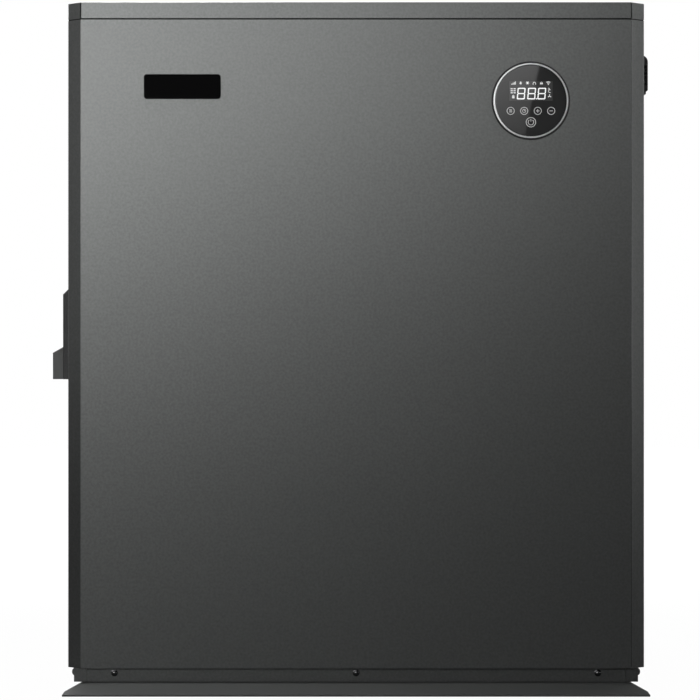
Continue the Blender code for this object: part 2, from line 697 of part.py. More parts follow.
def side_vent():
    """A rain hood with a rounded head, open through slots in both of its ends."""
    start, end = VENT_SPAN
    foot, step_z, head = 0.748, 0.7516, 0.797
    inside = SIDE + GAP
    out = SIDE + VENT_OUT
    arc = [
        (out - 0.0085 * (1 - math.cos(a)), head - 0.0105 * (1 - math.sin(a)))
        for a in (math.radians(18 * k) for k in range(6))
    ]
    lip = inside + 0.0063
    profile = [(inside, foot), (lip, foot), (lip, step_z), (out, step_z + 0.003), *arc, (inside, head)]
    vent = prism("side_vent", profile, start, end, "black_plastic", axis="Y")
    shell = 0.0018
    room = box("vent_room", (SIDE - 0.01, start + shell, 0.7565), (out - shell, end - shell, 0.785))
    cut(vent, room)
    for i in range(6):
        level = 0.7610 + 0.0042 * i
        low = (SIDE + 0.0012, start - 0.01, level - 0.001)
        high = (out - 0.0016, end + 0.01, level + 0.001)
        cut(vent, box(f"vent_slot_{i}", low, high))


def display_and_badge():
    face = FRONT - GAP
    rim_r, seat_r = DISPLAY_R + 0.0008, GLASS_R + GAP
    bezel = [
        (rim_r, 0), (rim_r, 0.0010), (DISPLAY_R, 0.0012), (DISPLAY_R - 0.0006, 0.0026),
        (GLASS_R + 0.0012, 0.0032), (seat_r, 0.0024), (seat_r, 0),
    ]
    centre = (DISPLAY_X, face, DISPLAY_Z)
    ring = turned("display_bezel", bezel, "chrome", centre, steps=32, ring=True)
    pane = [(0, 0), (GLASS_R, 0), (GLASS_R, 0.0016), (GLASS_R - 0.0005, 0.0022), (0, 0.0022)]
    glass = turned("display_glass", pane, "glass", centre, steps=32)
    body_r, body_depth = DISPLAY_HOLE_R - 0.001, 0.0205
    shell = [(0, 0.0006), (body_r, 0.0006), (body_r, body_depth), (0, body_depth)]
    housing = turned("display_housing", shell, "black_plastic", (DISPLAY_X, FRONT, DISPLAY_Z), "Y", steps=32)
    for obj in (ring, glass):
        obj.rotation_euler = (math.pi / 2, 0, 0)
    for obj in (ring, glass, housing):
        obj.modifiers["spin"].use_normal_flip = True

    half_w, half_h = BADGE_SIZE[0] / 2, BADGE_SIZE[1] / 2
    corner = 0.003
    outline = []
    for quarter, (sx, sz) in enumerate(((1, 1), (-1, 1), (-1, -1), (1, -1))):
        for k in range(4):
            angle = math.radians(90 * quarter + 30 * k)
            outline.append((
                BADGE_AT[0] + sx * (half_w - corner) + corner * math.cos(angle),
                BADGE_AT[1] + sz * (half_h - corner) + corner * math.sin(angle),
            ))
    prism("badge_plate", outline, face - 0.002, face, "black_plastic", axis="Y")


def front_screws():
    tip = -0.0085
    profile = [
        (0, 0.0032), (0.0022, 0.0030), (SCREW_HEAD_R - 0.0006, 0.0018), (SCREW_HEAD_R, GAP), (SCREW_R, GAP),
        (SCREW_R, tip), (0, tip),
    ]
    for name, side in (("base_screw_left", -1), ("base_screw_centre", 0), ("base_screw_right", 1)):
        screw = turned(name, profile, "black_plastic", (side * SCREW_SPACING, -PAN_HALF, SCREW_Z), steps=14)
        screw.rotation_euler = (math.pi / 2, 0, 0)


def coil_path(inset):
    """The coil's outer line in plan, round the rear left corner, moved in by this much."""
    radius, out = COIL_BEND_R - inset, COIL_OUT - inset
    middle = COIL_OUT - COIL_BEND_R
    turns = [math.radians(90 + 15 * k) for k in range(7)]
    arc = [(radius * math.cos(a) - middle, radius * math.sin(a) + middle) for a in turns]
    return [(COIL_RIGHT_END - inset, out), *arc, (-out, COIL_FRONT_END + inset)]


def evaporator():
    """Two thin walls with a space between them stand for the finned pack, so it weighs what a coil does."""
    pack = folded("evaporator_coil", coil_path(0), COIL_BOTTOM, COIL_TOP, COIL_THICK, "fins")
    core = COIL_THICK - 2 * COIL_FACE
    cut(pack, folded("coil_core_space", coil_path(COIL_FACE), COIL_BOTTOM + 0.010, COIL_TOP + 0.010, core))

    over = 0.003
    plate_y = COIL_FRONT_END - GAP
    low = (-COIL_OUT - over, plate_y - SHEET, COIL_BOTTOM)
    high = (COIL_THICK - COIL_OUT + over, plate_y, COIL_TOP)
    plate = box("coil_end_plate", low, high, "steel")
    bend_r = 0.0127
    bends = 6
    for i in range(bends):
        level = 0.070 + i * 0.122
        row_x = -0.329 if i % 2 else -0.307
        route = [
            (row_x, plate_y - SHEET - bend_r * math.cos(a), level + bend_r * math.sin(a))
            for a in (math.radians(-90 + 45 * k) for k in range(5))
        ]
        ends = [(row_x, plate_y - 0.0005, level - bend_r), *route, (row_x, plate_y - 0.0005, level + bend_r)]
        join(plate, tube(f"return_bend_{i}", ends, COIL_TUBE_R))

    plate_x = COIL_RIGHT_END + GAP
    low = (plate_x, COIL_OUT - COIL_THICK - over, COIL_BOTTOM)
    high = (plate_x + SHEET, COIL_OUT + over, COIL_TOP)
    header = box("coil_header", low, high, "copper")
    x, y = HEADER_AT
    join(header, cylinder("header_pipe", (x, y, HEADER_FOOT), (x, y, HEADER_FOOT + 0.360), 0.0095, sides=14))
    start = plate_x + SHEET / 3
    for i in range(5):
        level = HEADER_FOOT + 0.030 + 0.075 * i
        join(header, cylinder(f"header_stub_{i}", (start, y, level), (x, y, level), COIL_TUBE_R, sides=8))
    level = EXPANSION_FOOT + 0.020
    end = EXPANSION_AT[0] - EXPANSION_R - GAP
    join(header, cylinder("liquid_stub", (start, y, level), (end, y, level), COIL_TUBE_R, sides=8))


def compressor():
    x, y = COMPRESSOR_AT
    can = [
        (0, 0.362), (0.030, 0.358), (0.052, 0.345), (COMPRESSOR_R, 0.322), (COMPRESSOR_R, 0.085),
        (0.054, 0.066), (0.030, 0.058), (0, 0.056),
    ]
    body = turned("compressor", can, "black_paint", (x, y, 0), steps=20)
    join(body, cylinder("compressor_foot", (x, y, 0.0480), (x, y, 0.0600), 0.050, sides=24))
    seat, floor, mount_reach = 0.0480, PAN_FLOOR + GAP, 0.088
    mount = [
        (0, seat - GAP), (0.012, seat - GAP), (0.016, 0.040), (0.013, 0.030), (0.018, 0.0145), (0.018, floor),
        (0, floor),
    ]
    for i in range(3):
        angle = math.radians(90 + 120 * i)
        arm = box(f"compressor_arm_{i}", (0.030, -0.018, seat + 0.0001), (0.105, 0.018, seat + 0.0035))
        arm.location = (x, y, 0)
        arm.rotation_euler.z = angle
        join(body, arm)
        foot = (x + mount_reach * math.cos(angle), y + mount_reach * math.sin(angle), 0)
        turned(f"compressor_mount_{i + 1}", mount, "rubber", foot, steps=14)
    join(body, cylinder("discharge_stub", (x, y, 0.350), (x, y, DISCHARGE_Z), 0.0060, sides=12))
    ax, ay = ACCUMULATOR_AT
    tank = turned(
        "accumulator",
        [(0, 0.312), (0.020, 0.306), (0.034, 0.288), (0.034, 0.132), (0.020, 0.114), (0, 0.108)],
        None, (ax, ay, 0), steps=14,
    )
    strap = box("accumulator_strap", (ax + 0.020, ay - 0.012, 0.200), (x - 0.045, ay + 0.012, 0.224))
    elbow_route = bent_route([(ax, ay, 0.120), (ax, ay, 0.085), (x - 0.045, ay, 0.095)], 0.018)
    inlet = cylinder("suction_stub", (ax, ay, 0.300), (ax, ay, SUCTION_Z), 0.0075, sides=12)
    join(body, tank, strap, tube("suction_elbow", elbow_route, 0.0070), inlet)


def refrigerant_circuit():
    vx, vy, vz = VALVE_AT
    body = cylinder("four_way_valve", (vx - 0.055, vy, vz), (vx + 0.055, vy, vz), 0.014, "brass", sides=16)
    stub = 0.045
    join(body, cylinder("valve_top_stub", (vx, vy, vz), (vx, vy, vz + stub), 0.0062, sides=10))
    for i in (-1, 0, 1):
        sx = vx + i * VALVE_STUB_STEP
        join(body, cylinder(f"valve_stub_{i + 1}", (sx, vy, vz), (sx, vy, vz - stub), 0.0080, sides=10))
    pilot = box("reversing_coil", (vx - 0.018, vy - 0.052, vz - 0.004), (vx + 0.018, vy - 0.010, vz + 0.026))
    join(body, pilot)

    cx, cy = COMPRESSOR_AT
    ax, ay = ACCUMULATOR_AT
    ex, ey = EXCHANGER_AT
    hx, hy = HEADER_AT
    low = vz - stub - GAP
    runs = {
        "discharge_pipe": ([
            (cx, cy, DISCHARGE_Z + GAP), (cx, cy, 0.565), (vx, vy, 0.565),
            (vx, vy, vz + stub + GAP)], 0.0062),
        "suction_pipe": ([
            (vx, vy, low), (vx, vy, 0.385), (ax, ay, 0.385), (ax, ay, SUCTION_Z + GAP)], 0.0078),
        "condenser_gas_pipe": ([
            (vx + VALVE_STUB_STEP, vy, low), (vx + VALVE_STUB_STEP, vy, 0.385), (0.115, vy, 0.385),
            (0.115, vy, 0.560), (ex, ey, 0.560), (ex, ey, EXCHANGER_GAS_Z + GAP)], 0.0078),
        "coil_gas_pipe": ([
            (hx, hy, HEADER_FOOT - GAP), (hx, hy, 0.258), (hx, 0.268, 0.258),
            (vx - VALVE_STUB_STEP, 0.120, 0.258), (vx - VALVE_STUB_STEP, vy, 0.300),
            (vx - VALVE_STUB_STEP, vy, low)], 0.0078),
    }
    for name, (corners, radius) in runs.items():
        tube(name, bent_route(corners, 0.024, 3), radius, "copper", resolution=2)
    x, y = EXPANSION_AT
    drier_x, foot, z = 0.055, EXPANSION_FOOT, LIQUID_Z
    liquid = bent_route([
        (LIQUID_END - GAP, ey, z), (drier_x, ey, z), (drier_x, 0.262, z), (x, 0.268, z), (x, y, z),
        (x, y, foot - GAP),
    ], 0.020)
    line = tube("liquid_pipe", liquid, COIL_TUBE_R, "copper", resolution=2)
    join(line, cylinder("filter_drier", (drier_x, 0.196, z), (drier_x, 0.242, z), 0.016, sides=14))
    ends = (x, y, foot), (x, y, foot + 0.090)
    expansion = cylinder("expansion_valve", *ends, EXPANSION_R, "brass", sides=18)
    join(expansion, cylinder("expansion_coil", (x, y, foot + 0.045), (x, y, foot + 0.083), 0.021, sides=18))


def heat_exchanger():
    x, y = EXCHANGER_AT
    foot_r, floor = EXCHANGER_R + 0.010, PAN_FLOOR + GAP
    shell = [
        (0, 0.500), (0.040, 0.497), (0.072, 0.482), (EXCHANGER_R, 0.455), (EXCHANGER_R, 0.034),
        (foot_r, 0.030), (foot_r, floor), (0, floor),
    ]
    body = turned("heat_exchanger", shell, "black_plastic", (x, y, 0), steps=24)
    for label, level in (("inlet", INLET_Z), ("outlet", OUTLET_Z)):
        join(body, cylinder(f"{label}_stub", (x, y, level), (x, PORT_START - GAP, level), PORT_R))
    join(body, cylinder("gas_stub", (x, y, 0.480), (x, y, EXCHANGER_GAS_Z), 0.0100, sides=14))
    join(body, cylinder("liquid_stub_out", (x, y, LIQUID_Z), (LIQUID_END, y, LIQUID_Z), 0.0080, sides=12))


def water_ports():
    x = EXCHANGER_AT[0]
    for label, level in (("inlet", INLET_Z), ("outlet", OUTLET_Z)):
        pipe = [(PORT_R, PORT_END), (PORT_R, PORT_START), (PORT_BORE_R, PORT_START), (PORT_BORE_R, PORT_END)]
        made = turned(f"{label}_pipe", pipe, "white_plastic", (x, 0, level), "Y", steps=24, ring=True)
        if label == "inlet":
            ends = (x, SWITCH_Y, level), (x, SWITCH_Y, level + 0.05)
            cut(made, cylinder("switch_hole", *ends, SWITCH_STEM_R + GAP, sides=20))
        collar = PORT_END + GAP
        collar_r, stop_r = PORT_R - 0.0002, 0.0210
        tail = [
            (TAIL_R, TAIL_END), (TAIL_R, collar + 0.007), (collar_r, collar + 0.007), (collar_r, collar),
            (stop_r, collar), (stop_r, collar + 0.010), (SOCKET_R, collar + 0.010), (SOCKET_R, TAIL_END),
        ]
        turned(f"{label}_tailpiece", tail, "white_plastic", (x, 0, level), "Y", steps=24, ring=True)
        union_nut(f"{label}_union_nut", x, level, collar + 0.0075)


def union_nut(name, x, level, lip_start):
    """A ribbed ring nut over the port's end, with a lip that holds the tailpiece's collar."""
    start, end = REAR + 0.0065, lip_start + 0.006
    ribs, rib_r, root_r = 10, 0.0435, 0.0410
    outline = []
    for k in range(ribs * 4):
        radius = rib_r if k % 4 in (0, 1) else root_r
        angle = math.tau * k / (ribs * 4)
        outline.append((x + radius * math.cos(angle), level + radius * math.sin(angle)))
    nut = prism(name, outline, start, end, "black_plastic", axis="Y")
    pivot_at(nut, (x, start, level))
    lip_r, thread_r = TAIL_R + 0.0007, PORT_R + 0.0008
    past_end, past_start = end + 0.01, start - 0.01
    inside = [
        (0, past_end), (lip_r, past_end), (lip_r, lip_start), (thread_r, lip_start), (thread_r, past_start),
        (0, past_start),
    ]
    cut(nut, turned(name + "_bore", inside, None, (x, 0, level), "Y", steps=24))


def flow_switch():
    """A paddle switch on the inlet pipe: its paddle hangs in the water and swings inwards with the flow."""
    x, y, top = EXCHANGER_AT[0], SWITCH_Y, INLET_Z + PORT_R
    low, high = (x - 0.022, y - 0.018, top + 0.0085), (x + 0.022, y + 0.018, top + 0.048)
    head = box("flow_switch", low, high, "grey_plastic")
    stem_foot = INLET_Z + PORT_BORE_R - 0.0005
    join(head, cylinder("switch_stem", (x, y, stem_foot), (x, y, top + 0.010), SWITCH_STEM_R, sides=20))
    join(head, cylinder("switch_collar", (x, y, top + GAP), (x, y, top + 0.0095), 0.0145, sides=20))
    pivot_z, pin_half = INLET_Z + 0.018, 0.0044
    for side in (-1, 1):
        low_x, high_x = sorted((x + side * (pin_half + 0.0004), x + side * (pin_half + 0.0024)))
        low, high = (low_x, y - 0.003, pivot_z - 0.003), (high_x, y + 0.003, INLET_Z + 0.026)
        join(head, box(f"switch_ear_{side + 1}", low, high))
    ends = (x - pin_half, y, pivot_z), (x + pin_half, y, pivot_z)
    paddle = cylinder("flow_paddle", *ends, 0.0022, "steel", sides=10)
    pivot_at(paddle, (x, y, pivot_z))
    low, high = (x - 0.0038, y - 0.0006, INLET_Z - 0.014), (x + 0.0038, y + 0.0006, pivot_z)
    join(paddle, box("paddle_leaf", low, high))


def electrics():
    low, high = (-0.358, -0.335, 0.520), (0.358, -0.225, 0.735)
    tray = box("electrical_box", low, high, "steel")
    inner_low = [low[0] + SHEET, low[1] - 0.01, low[2] + SHEET]
    inner_high = [high[0] - SHEET, high[1] - SHEET, high[2] - SHEET]
    cut(tray, box("electrical_room", inner_low, inner_high))
    for i in range(8):
        fin_low = (0.020 + 0.020 * i, high[1] - 0.001, 0.560)
        fin_high = (0.023 + 0.020 * i, high[1] + 0.030, 0.700)
        join(tray, box(f"cooling_fin_{i}", fin_low, fin_high))
    back = high[1] - SHEET - GAP
    board = box("main_board", (-0.160, back - 0.008, 0.540), (0.240, back, 0.715), "board")
    parts = (
        ((-0.130, 0.560), (-0.070, 0.620), 0.040), ((-0.050, 0.560), (-0.010, 0.600), 0.030),
        ((0.020, 0.640), (0.160, 0.690), 0.022), ((0.030, 0.560), (0.060, 0.590), 0.050),
        ((0.080, 0.560), (0.110, 0.590), 0.050), ((0.180, 0.560), (0.220, 0.680), 0.018),
    )
    for i, (corner, far, rise) in enumerate(parts):
        part_low = (corner[0], back - 0.007 - rise, corner[1])
        part_high = (far[0], back - 0.004, far[1])
        join(board, box(f"board_part_{i}", part_low, part_high))
    block = box("terminal_block", (-0.3500, -0.282, 0.462), (-0.318, -0.178, low[2] - GAP), "grey_plastic")
    for i in range(5):
        start = -0.275 + 0.0195 * i
        cut(block, box(f"terminal_cell_{i}", (-0.3600, start, 0.466), (-0.334, start + 0.014, 0.490)))


def build():
    base_pan()
    foot_rail("front_foot_rail", -1)
    foot_rail("rear_foot_rail", 1)
    front_panel()
    side_and_rear_panels()
    lid()
    bracket_face = shroud_and_bracket()
    motor(bracket_face)
    fan()
    fan_guard()
    wiring_cover()
    side_vent()
    display_and_badge()
    front_screws()
    evaporator()
    compressor()
    refrigerant_circuit()
    heat_exchanger()
    water_ports()
    flow_switch()
    electrics()


build()
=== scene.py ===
"""Looks of a pool heat pump with a flat charcoal front, a round touch display and a fan in its lid."""

import math

import bmesh
import bpy
from mathutils import Matrix, Vector


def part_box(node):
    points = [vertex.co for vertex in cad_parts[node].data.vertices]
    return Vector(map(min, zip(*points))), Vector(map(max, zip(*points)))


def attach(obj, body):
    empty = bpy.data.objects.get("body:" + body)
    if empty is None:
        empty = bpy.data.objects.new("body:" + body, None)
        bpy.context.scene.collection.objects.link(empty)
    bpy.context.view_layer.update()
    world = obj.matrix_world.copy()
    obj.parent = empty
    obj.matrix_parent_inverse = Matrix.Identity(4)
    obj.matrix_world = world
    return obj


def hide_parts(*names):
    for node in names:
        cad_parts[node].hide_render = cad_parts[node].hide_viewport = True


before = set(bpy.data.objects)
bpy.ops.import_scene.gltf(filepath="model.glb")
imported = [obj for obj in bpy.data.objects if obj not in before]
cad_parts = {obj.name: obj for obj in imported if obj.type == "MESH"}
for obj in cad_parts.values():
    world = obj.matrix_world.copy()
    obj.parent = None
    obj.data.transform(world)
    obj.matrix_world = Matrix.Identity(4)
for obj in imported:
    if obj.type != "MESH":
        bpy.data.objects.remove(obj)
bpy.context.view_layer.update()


def middle(node):
    """The middle of a solid's box."""
    return [(low + high) / 2 for low, high in zip(*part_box(node))]


# Places read from the solids
CASING_LOW, CASING_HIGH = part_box("top_cover")
LEFT, FRONT, LID_BOTTOM = CASING_LOW
RIGHT, REAR, LID_TOP = CASING_HIGH
MIDDLE_X = (LEFT + RIGHT) / 2
PANEL_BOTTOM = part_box("right_panel")[0].z
PANEL_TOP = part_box("right_panel")[1].z
PAN_LOW, PAN_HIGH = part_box("base_pan")
GLASS_LOW, GLASS_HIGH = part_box("display_glass")
DISPLAY_X, _, DISPLAY_Z = middle("display_glass")
GLASS_R = (GLASS_HIGH.x - GLASS_LOW.x) / 2
PORTS = ("inlet", "outlet")

# Sizes of the sheet metal
SHEET = 0.0015
CORNER = 0.017
PAN_CORNER = 0.002
PAN_TAB = 0.0156
HAIRLINE = 0.0004
CRISP = 0.0003
RETURN = 0.036
LIP = 0.0135
LID_RETURN = 0.0165
FOLD_R = 0.0005
FLAP_SLIT = 0.0018

# Openings in it: radii, and the windows' corners as depth and height
FAN_OPENING_R = 0.287
DISPLAY_OPENING_R = 0.0425
PORT_OPENING_R = 0.034
WIRING_WINDOW = (-0.270, 0.408), (-0.186, 0.484)
VENT_WINDOW = (-0.285, 0.760), (-0.205, 0.785)

# Sizes of what it carries
GUARD_R = 0.300
WIRE_R = 0.0018
COVER_WALL = 0.0022
COVER_POCKET = 0.0028
PRINT_DEPTH = 0.00008

# What counts as on a face and as along an axis, and how far a cutter reaches past a sheet
NEAR = 0.001
CLOSE = 0.0005
ALONG = 0.9
THROUGH = 0.01


def photograph_camera():
    """Square on to the front from about four metres, level with its middle."""
    distance, eye_level = 4.15, 0.4242
    data = bpy.data.cameras.new("photograph_camera")
    data.lens = 156.57
    data.sensor_width = 36
    data.shift_x = -0.0087
    camera = bpy.data.objects.new("photograph_camera", data)
    camera.location = (MIDDLE_X, -distance, eye_level)
    camera.rotation_euler = (math.pi / 2, 0, 0)
    bpy.context.scene.collection.objects.link(camera)
    bpy.context.scene.camera = camera


# Modelling tools


def let_go():
    """Leaves edit mode and deselects everything."""
    active = bpy.context.view_layer.objects.active
    if active and active.mode != "OBJECT":
        bpy.ops.object.mode_set(mode="OBJECT")
    bpy.ops.object.select_all(action="DESELECT")


def take(*pieces):
    """Selects these pieces alone, the first of them active."""
    let_go()
    for piece in pieces:
        piece.select_set(True)
    bpy.context.view_layer.objects.active = pieces[0]


def settle(name):
    """Names the active piece and puts its place, turn and size into its mesh."""
    piece = bpy.context.object
    piece.name = name
    piece.data.name = name
    bpy.ops.object.transform_apply(location=True, rotation=True, scale=True)
    return piece


def block(name, low, high):
    """A cube stretched between two corners."""
    let_go()
    low, high = Vector(low), Vector(high)
    bpy.ops.mesh.primitive_cube_add(size=1, location=(low + high) / 2)
    bpy.context.object.scale = high - low
    return settle(name)


def rod(name, start, end, radius, sides=32):
    """A cylinder between two points."""
    let_go()
    start, end = Vector(start), Vector(end)
    bpy.ops.mesh.primitive_cylinder_add(
        vertices=sides, radius=radius, depth=(end - start).length, location=(start + end) / 2,
        rotation=(end - start).to_track_quat("Z", "Y").to_euler(),
    )
    return settle(name)


def hole(at, axis, radius, sides=64):
    """A round cutter through a wall, along the axis with this number."""
    start, end = list(at), list(at)
    start[axis] -= THROUGH
    end[axis] += THROUGH
    return rod("hole", start, end, radius, sides)


TURNS = {
    "X": (0, math.pi / 2, 0), "-X": (0, -math.pi / 2, 0), "Y": (-math.pi / 2, 0, 0),
    "-Y": (math.pi / 2, 0, 0), "Z": (0, 0, 0),
}


def turned(name, profile, centre=(0, 0, 0), axis="Z", sides=96):
    """A circle drawn out along (radius, height) pairs, and closed to a ring where the last is the first."""
    let_go()
    bpy.ops.mesh.primitive_circle_add(vertices=sides, radius=profile[0][0], location=(0, 0, profile[0][1]))
    piece = settle(name)
    bpy.ops.object.mode_set(mode="EDIT")
    bpy.ops.mesh.select_mode(type="EDGE")
    bpy.ops.mesh.select_all(action="SELECT")
    for (radius, height), (next_radius, next_height) in zip(profile, profile[1:]):
        draw_out(0, 0, next_height - height)
        share = next_radius / radius
        bpy.ops.transform.resize(value=(share, share, 1), center_override=(0, 0, next_height))
    bpy.ops.mesh.select_all(action="SELECT")
    bpy.ops.mesh.remove_doubles(threshold=0.000005)
    bpy.ops.mesh.fill_holes(sides=0)
    bpy.ops.mesh.normals_make_consistent(inside=False)
    bpy.ops.object.mode_set(mode="OBJECT")
    piece.rotation_euler = TURNS[axis]
    piece.location = centre
    return settle(name)


def pick(piece, kind, test):
    """Edit mode with only those faces, edges or corners selected whose middle and direction pass the test."""
    take(piece)
    bpy.ops.object.mode_set(mode="EDIT")
    bpy.ops.mesh.select_mode(type=kind)
    bpy.ops.mesh.select_all(action="DESELECT")
    shape = bmesh.from_edit_mesh(piece.data)
    if kind == "FACE":
        found = [f for f in shape.faces if test(f.calc_center_median(), f.normal)]
    elif kind == "EDGE":
        ends = [(e, e.verts[0].co, e.verts[1].co) for e in shape.edges]
        found = [e for e, a, b in ends if test((a + b) / 2, (b - a).normalized())]
    else:
        found = [v for v in shape.verts if test(v.co, v.normal)]
    for item in found:
        item.select_set(True)
    shape.select_flush_mode()
    bmesh.update_edit_mesh(piece.data)


def anything(at, way):
    return True


def upright(at, way):
    return abs(way.z) > ALONG


def lengthwise(at, way):
    return abs(way.y) > ALONG


def bevel(piece, width, steps, test):
    """Cuts off or rounds the edges that pass the test."""
    pick(piece, "EDGE", test)
    bpy.ops.mesh.bevel(offset=width, segments=steps, affect="EDGES")


def open_up(piece, test):
    """Deletes the faces that pass the test."""
    pick(piece, "FACE", test)
    bpy.ops.mesh.delete(type="FACE")


def draw_out(*way):
    """Extrudes what is selected by this much."""
    bpy.ops.mesh.extrude_region_move(TRANSFORM_OT_translate={"value": way})


def face_out(piece):
    """Turns all faces outwards."""
    take(piece)
    bpy.ops.object.mode_set(mode="EDIT")
    bpy.ops.mesh.select_all(action="SELECT")
    bpy.ops.mesh.normals_make_consistent(inside=False)
    bpy.ops.object.mode_set(mode="OBJECT")


def use(piece, kind, **settings):
    """Adds a modifier with these settings and applies it."""
    modifier = piece.modifiers.new(kind.lower(), kind)
    for key, value in settings.items():
        setattr(modifier, key, value)
    take(piece)
    bpy.ops.object.modifier_apply(modifier=modifier.name)


def thicken(piece, wall=SHEET):
    """Gives a skin its wall, inwards."""
    use(piece, "SOLIDIFY", thickness=wall, offset=-1, use_even_offset=True)


def carve(piece, other, operation="DIFFERENCE"):
    """Cuts the other piece out of this one and removes it."""
    use(piece, "BOOLEAN", operation=operation, solver="EXACT", object=other)
    bpy.data.objects.remove(other)


def weld(piece, other):
    """Takes the other piece into this one, in one skin."""
    carve(piece, other, "UNION")


def repeat(piece, count, step):
    use(piece, "ARRAY", count=count, use_relative_offset=False, use_constant_offset=True,
        constant_offset_displace=step)


def together(name, *pieces):
    """Joins pieces into one object."""
    take(*pieces)
    bpy.ops.object.join()
    return settle(name)


def copy_of(piece, name, turn, move):
    """A copy with its own mesh, turned about the origin and then moved."""
    take(piece)
    bpy.ops.object.duplicate(linked=False)
    made = bpy.context.object
    made.rotation_euler = turn
    made.location = move
    return settle(name)


def all_round(piece, count, offset):
    """Copies of a piece, spaced evenly round the fan's axis. The piece itself goes."""
    angles = [math.tau * (i + offset) / count for i in range(count)]
    made = [copy_of(piece, "round_copy", (0, 0, angle), (MIDDLE_X, 0, 0)) for angle in angles]
    bpy.data.objects.remove(piece)
    return made


def smooth(piece, angle=35):
    """Smooth shading that keeps flat faces flat and creases sharp."""
    take(piece)
    bpy.ops.object.shade_smooth_by_angle(angle=math.radians(angle))
    use(piece, "WEIGHTED_NORMAL", weight=80, keep_sharp=True)


def ease(piece, width, angle=40):
    """Rounds every edge sharper than this angle, and merges the slivers that it leaves."""
    use(piece, "BEVEL", width=width, segments=2, limit_method="ANGLE", angle_limit=math.radians(angle),
        use_clamp_overlap=True)
    pick(piece, "VERT", anything)
    bpy.ops.mesh.remove_doubles(threshold=0.000003)
    smooth(piece)


def fit(piece, finish, slot, *nodes, body="cabinet"):
    """Gives a piece its finish and the body that carries it, and hides the solids it stands for."""
    piece.data.materials.clear()
    piece.data.materials.append(finish)
    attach(piece, body)
    if nodes:
        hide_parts(*nodes)


# Shader tools


class Value:
    """A shader socket in an expression: each operator adds a Math node."""

    def __init__(self, nodes, socket):
        self.nodes = nodes
        self.socket = socket

    def math(self, operation, first, second):
        return self.nodes.node("ShaderNodeMath", {"operation": operation}, {0: first, 1: second})

    __add__ = __radd__ = lambda self, other: self.math("ADD", self, other)
    __mul__ = __rmul__ = lambda self, other: self.math("MULTIPLY", self, other)
    __sub__ = lambda self, other: self.math("SUBTRACT", self, other)
    __rsub__ = lambda self, other: self.math("SUBTRACT", other, self)
    __gt__ = lambda self, other: self.math("GREATER_THAN", self, other)
    __lt__ = lambda self, other: self.math("LESS_THAN", self, other)


class Nodes:
    """A node tree to which one call adds a node, its settings and what goes into it."""

    def __init__(self, tree):
        self.tree = tree

    def node(self, kind, settings=None, inputs=None, output=0):
        made = self.tree.nodes.new(kind)
        for key, value in (settings or {}).items():
            setattr(made, key, value)
        for key, value in (inputs or {}).items():
            if isinstance(value, Value):
                self.tree.links.new(value.socket, made.inputs[key])
            else:
                made.inputs[key].default_value = value
        return Value(self, made.outputs[output])

    def axis(self, vector, name):
        return self.node("ShaderNodeSeparateXYZ", None, {0: vector}, name)

    def smoothstep(self, value, low, high):
        return self.node("ShaderNodeMapRange", {"interpolation_type": "SMOOTHSTEP"},
                         {"Value": value, "From Min": low, "From Max": high})

    def seen(self, behind):
        """1 to the camera, and to what mirrors or lets through the ground behind the unit."""
        rays = ("Camera", "Glossy", "Transmission")
        eye, mirror, pane = [self.node("ShaderNodeLightPath", output=f"Is {ray} Ray") for ray in rays]
        return eye + (mirror + pane) * behind


class Finish(Nodes):
    """A material with one shader. What is the same all over is set on its sockets, and the rest is fed."""

    def __init__(self, name, colour, roughness, **sockets):
        self.material = bpy.data.materials.new(name)
        self.material.use_nodes = True
        super().__init__(self.material.node_tree)
        self.shader = self.tree.nodes["Principled BSDF"]
        self.shader.inputs["Base Color"].default_value = (*colour, 1)
        self.shader.inputs["Roughness"].default_value = roughness
        for key, value in sockets.items():
            self.shader.inputs[key.replace("_", " ")].default_value = value
        self.here = self.node("ShaderNodeTexCoord", output="Object")

    def feed(self, socket, value):
        self.tree.links.new(value.socket, self.shader.inputs[socket])

    def show(self, surface):
        """Puts another shader in the place of the material's own."""
        self.tree.links.new(surface.socket, self.tree.nodes["Material Output"].inputs["Surface"])

    def mapped(self, turn=(0, 0, 0), scale=(1, 1, 1), move=(0, 0, 0)):
        return self.node("ShaderNodeMapping", None,
                         {"Vector": self.here, "Location": move, "Rotation": turn, "Scale": scale})

    def noise(self, scale, detail, where=None):
        return self.node("ShaderNodeTexNoise", None, {
            "Vector": where or self.here, "Scale": scale, "Detail": detail})

    def colour(self, share, first, second, socket="Base Color"):
        """Feeds a colour between two, either of which may be fed itself."""
        ends = [c if isinstance(c, Value) else (*c, 1) for c in (first, second)]
        self.feed(socket, self.node(
            "ShaderNodeMix", {"data_type": "RGBA"}, {0: share, 6: ends[0], 7: ends[1]}, 2))

    def bump(self, height, strength, distance):
        self.feed("Normal", self.node("ShaderNodeBump", None, {
            "Height": height, "Strength": strength, "Distance": distance}))


# Finishes


def mottled(name, dark, light, roughness, patch, grain=None, spread=0, bump=None, stretch=(1, 1, 1), **more):
    """A finish between two colours in patches, with a finer grain if there is one, rougher where it is paler.

    A noise is its scale, its detail and its share in the colour. A bump is its strength and its depth.
    """
    finish = Finish(name, dark, roughness, **more)
    patches = finish.noise(*patch[:2])
    tone, relief = patches * patch[2], patches
    if grain:
        relief = finish.noise(*grain[:2], finish.mapped(scale=stretch))
        tone = tone + relief * grain[2]
    finish.colour(tone, dark, light)
    if spread:
        finish.feed("Roughness", roughness + patches * spread)
    if bump:
        finish.bump(relief, *bump)
    return finish.material


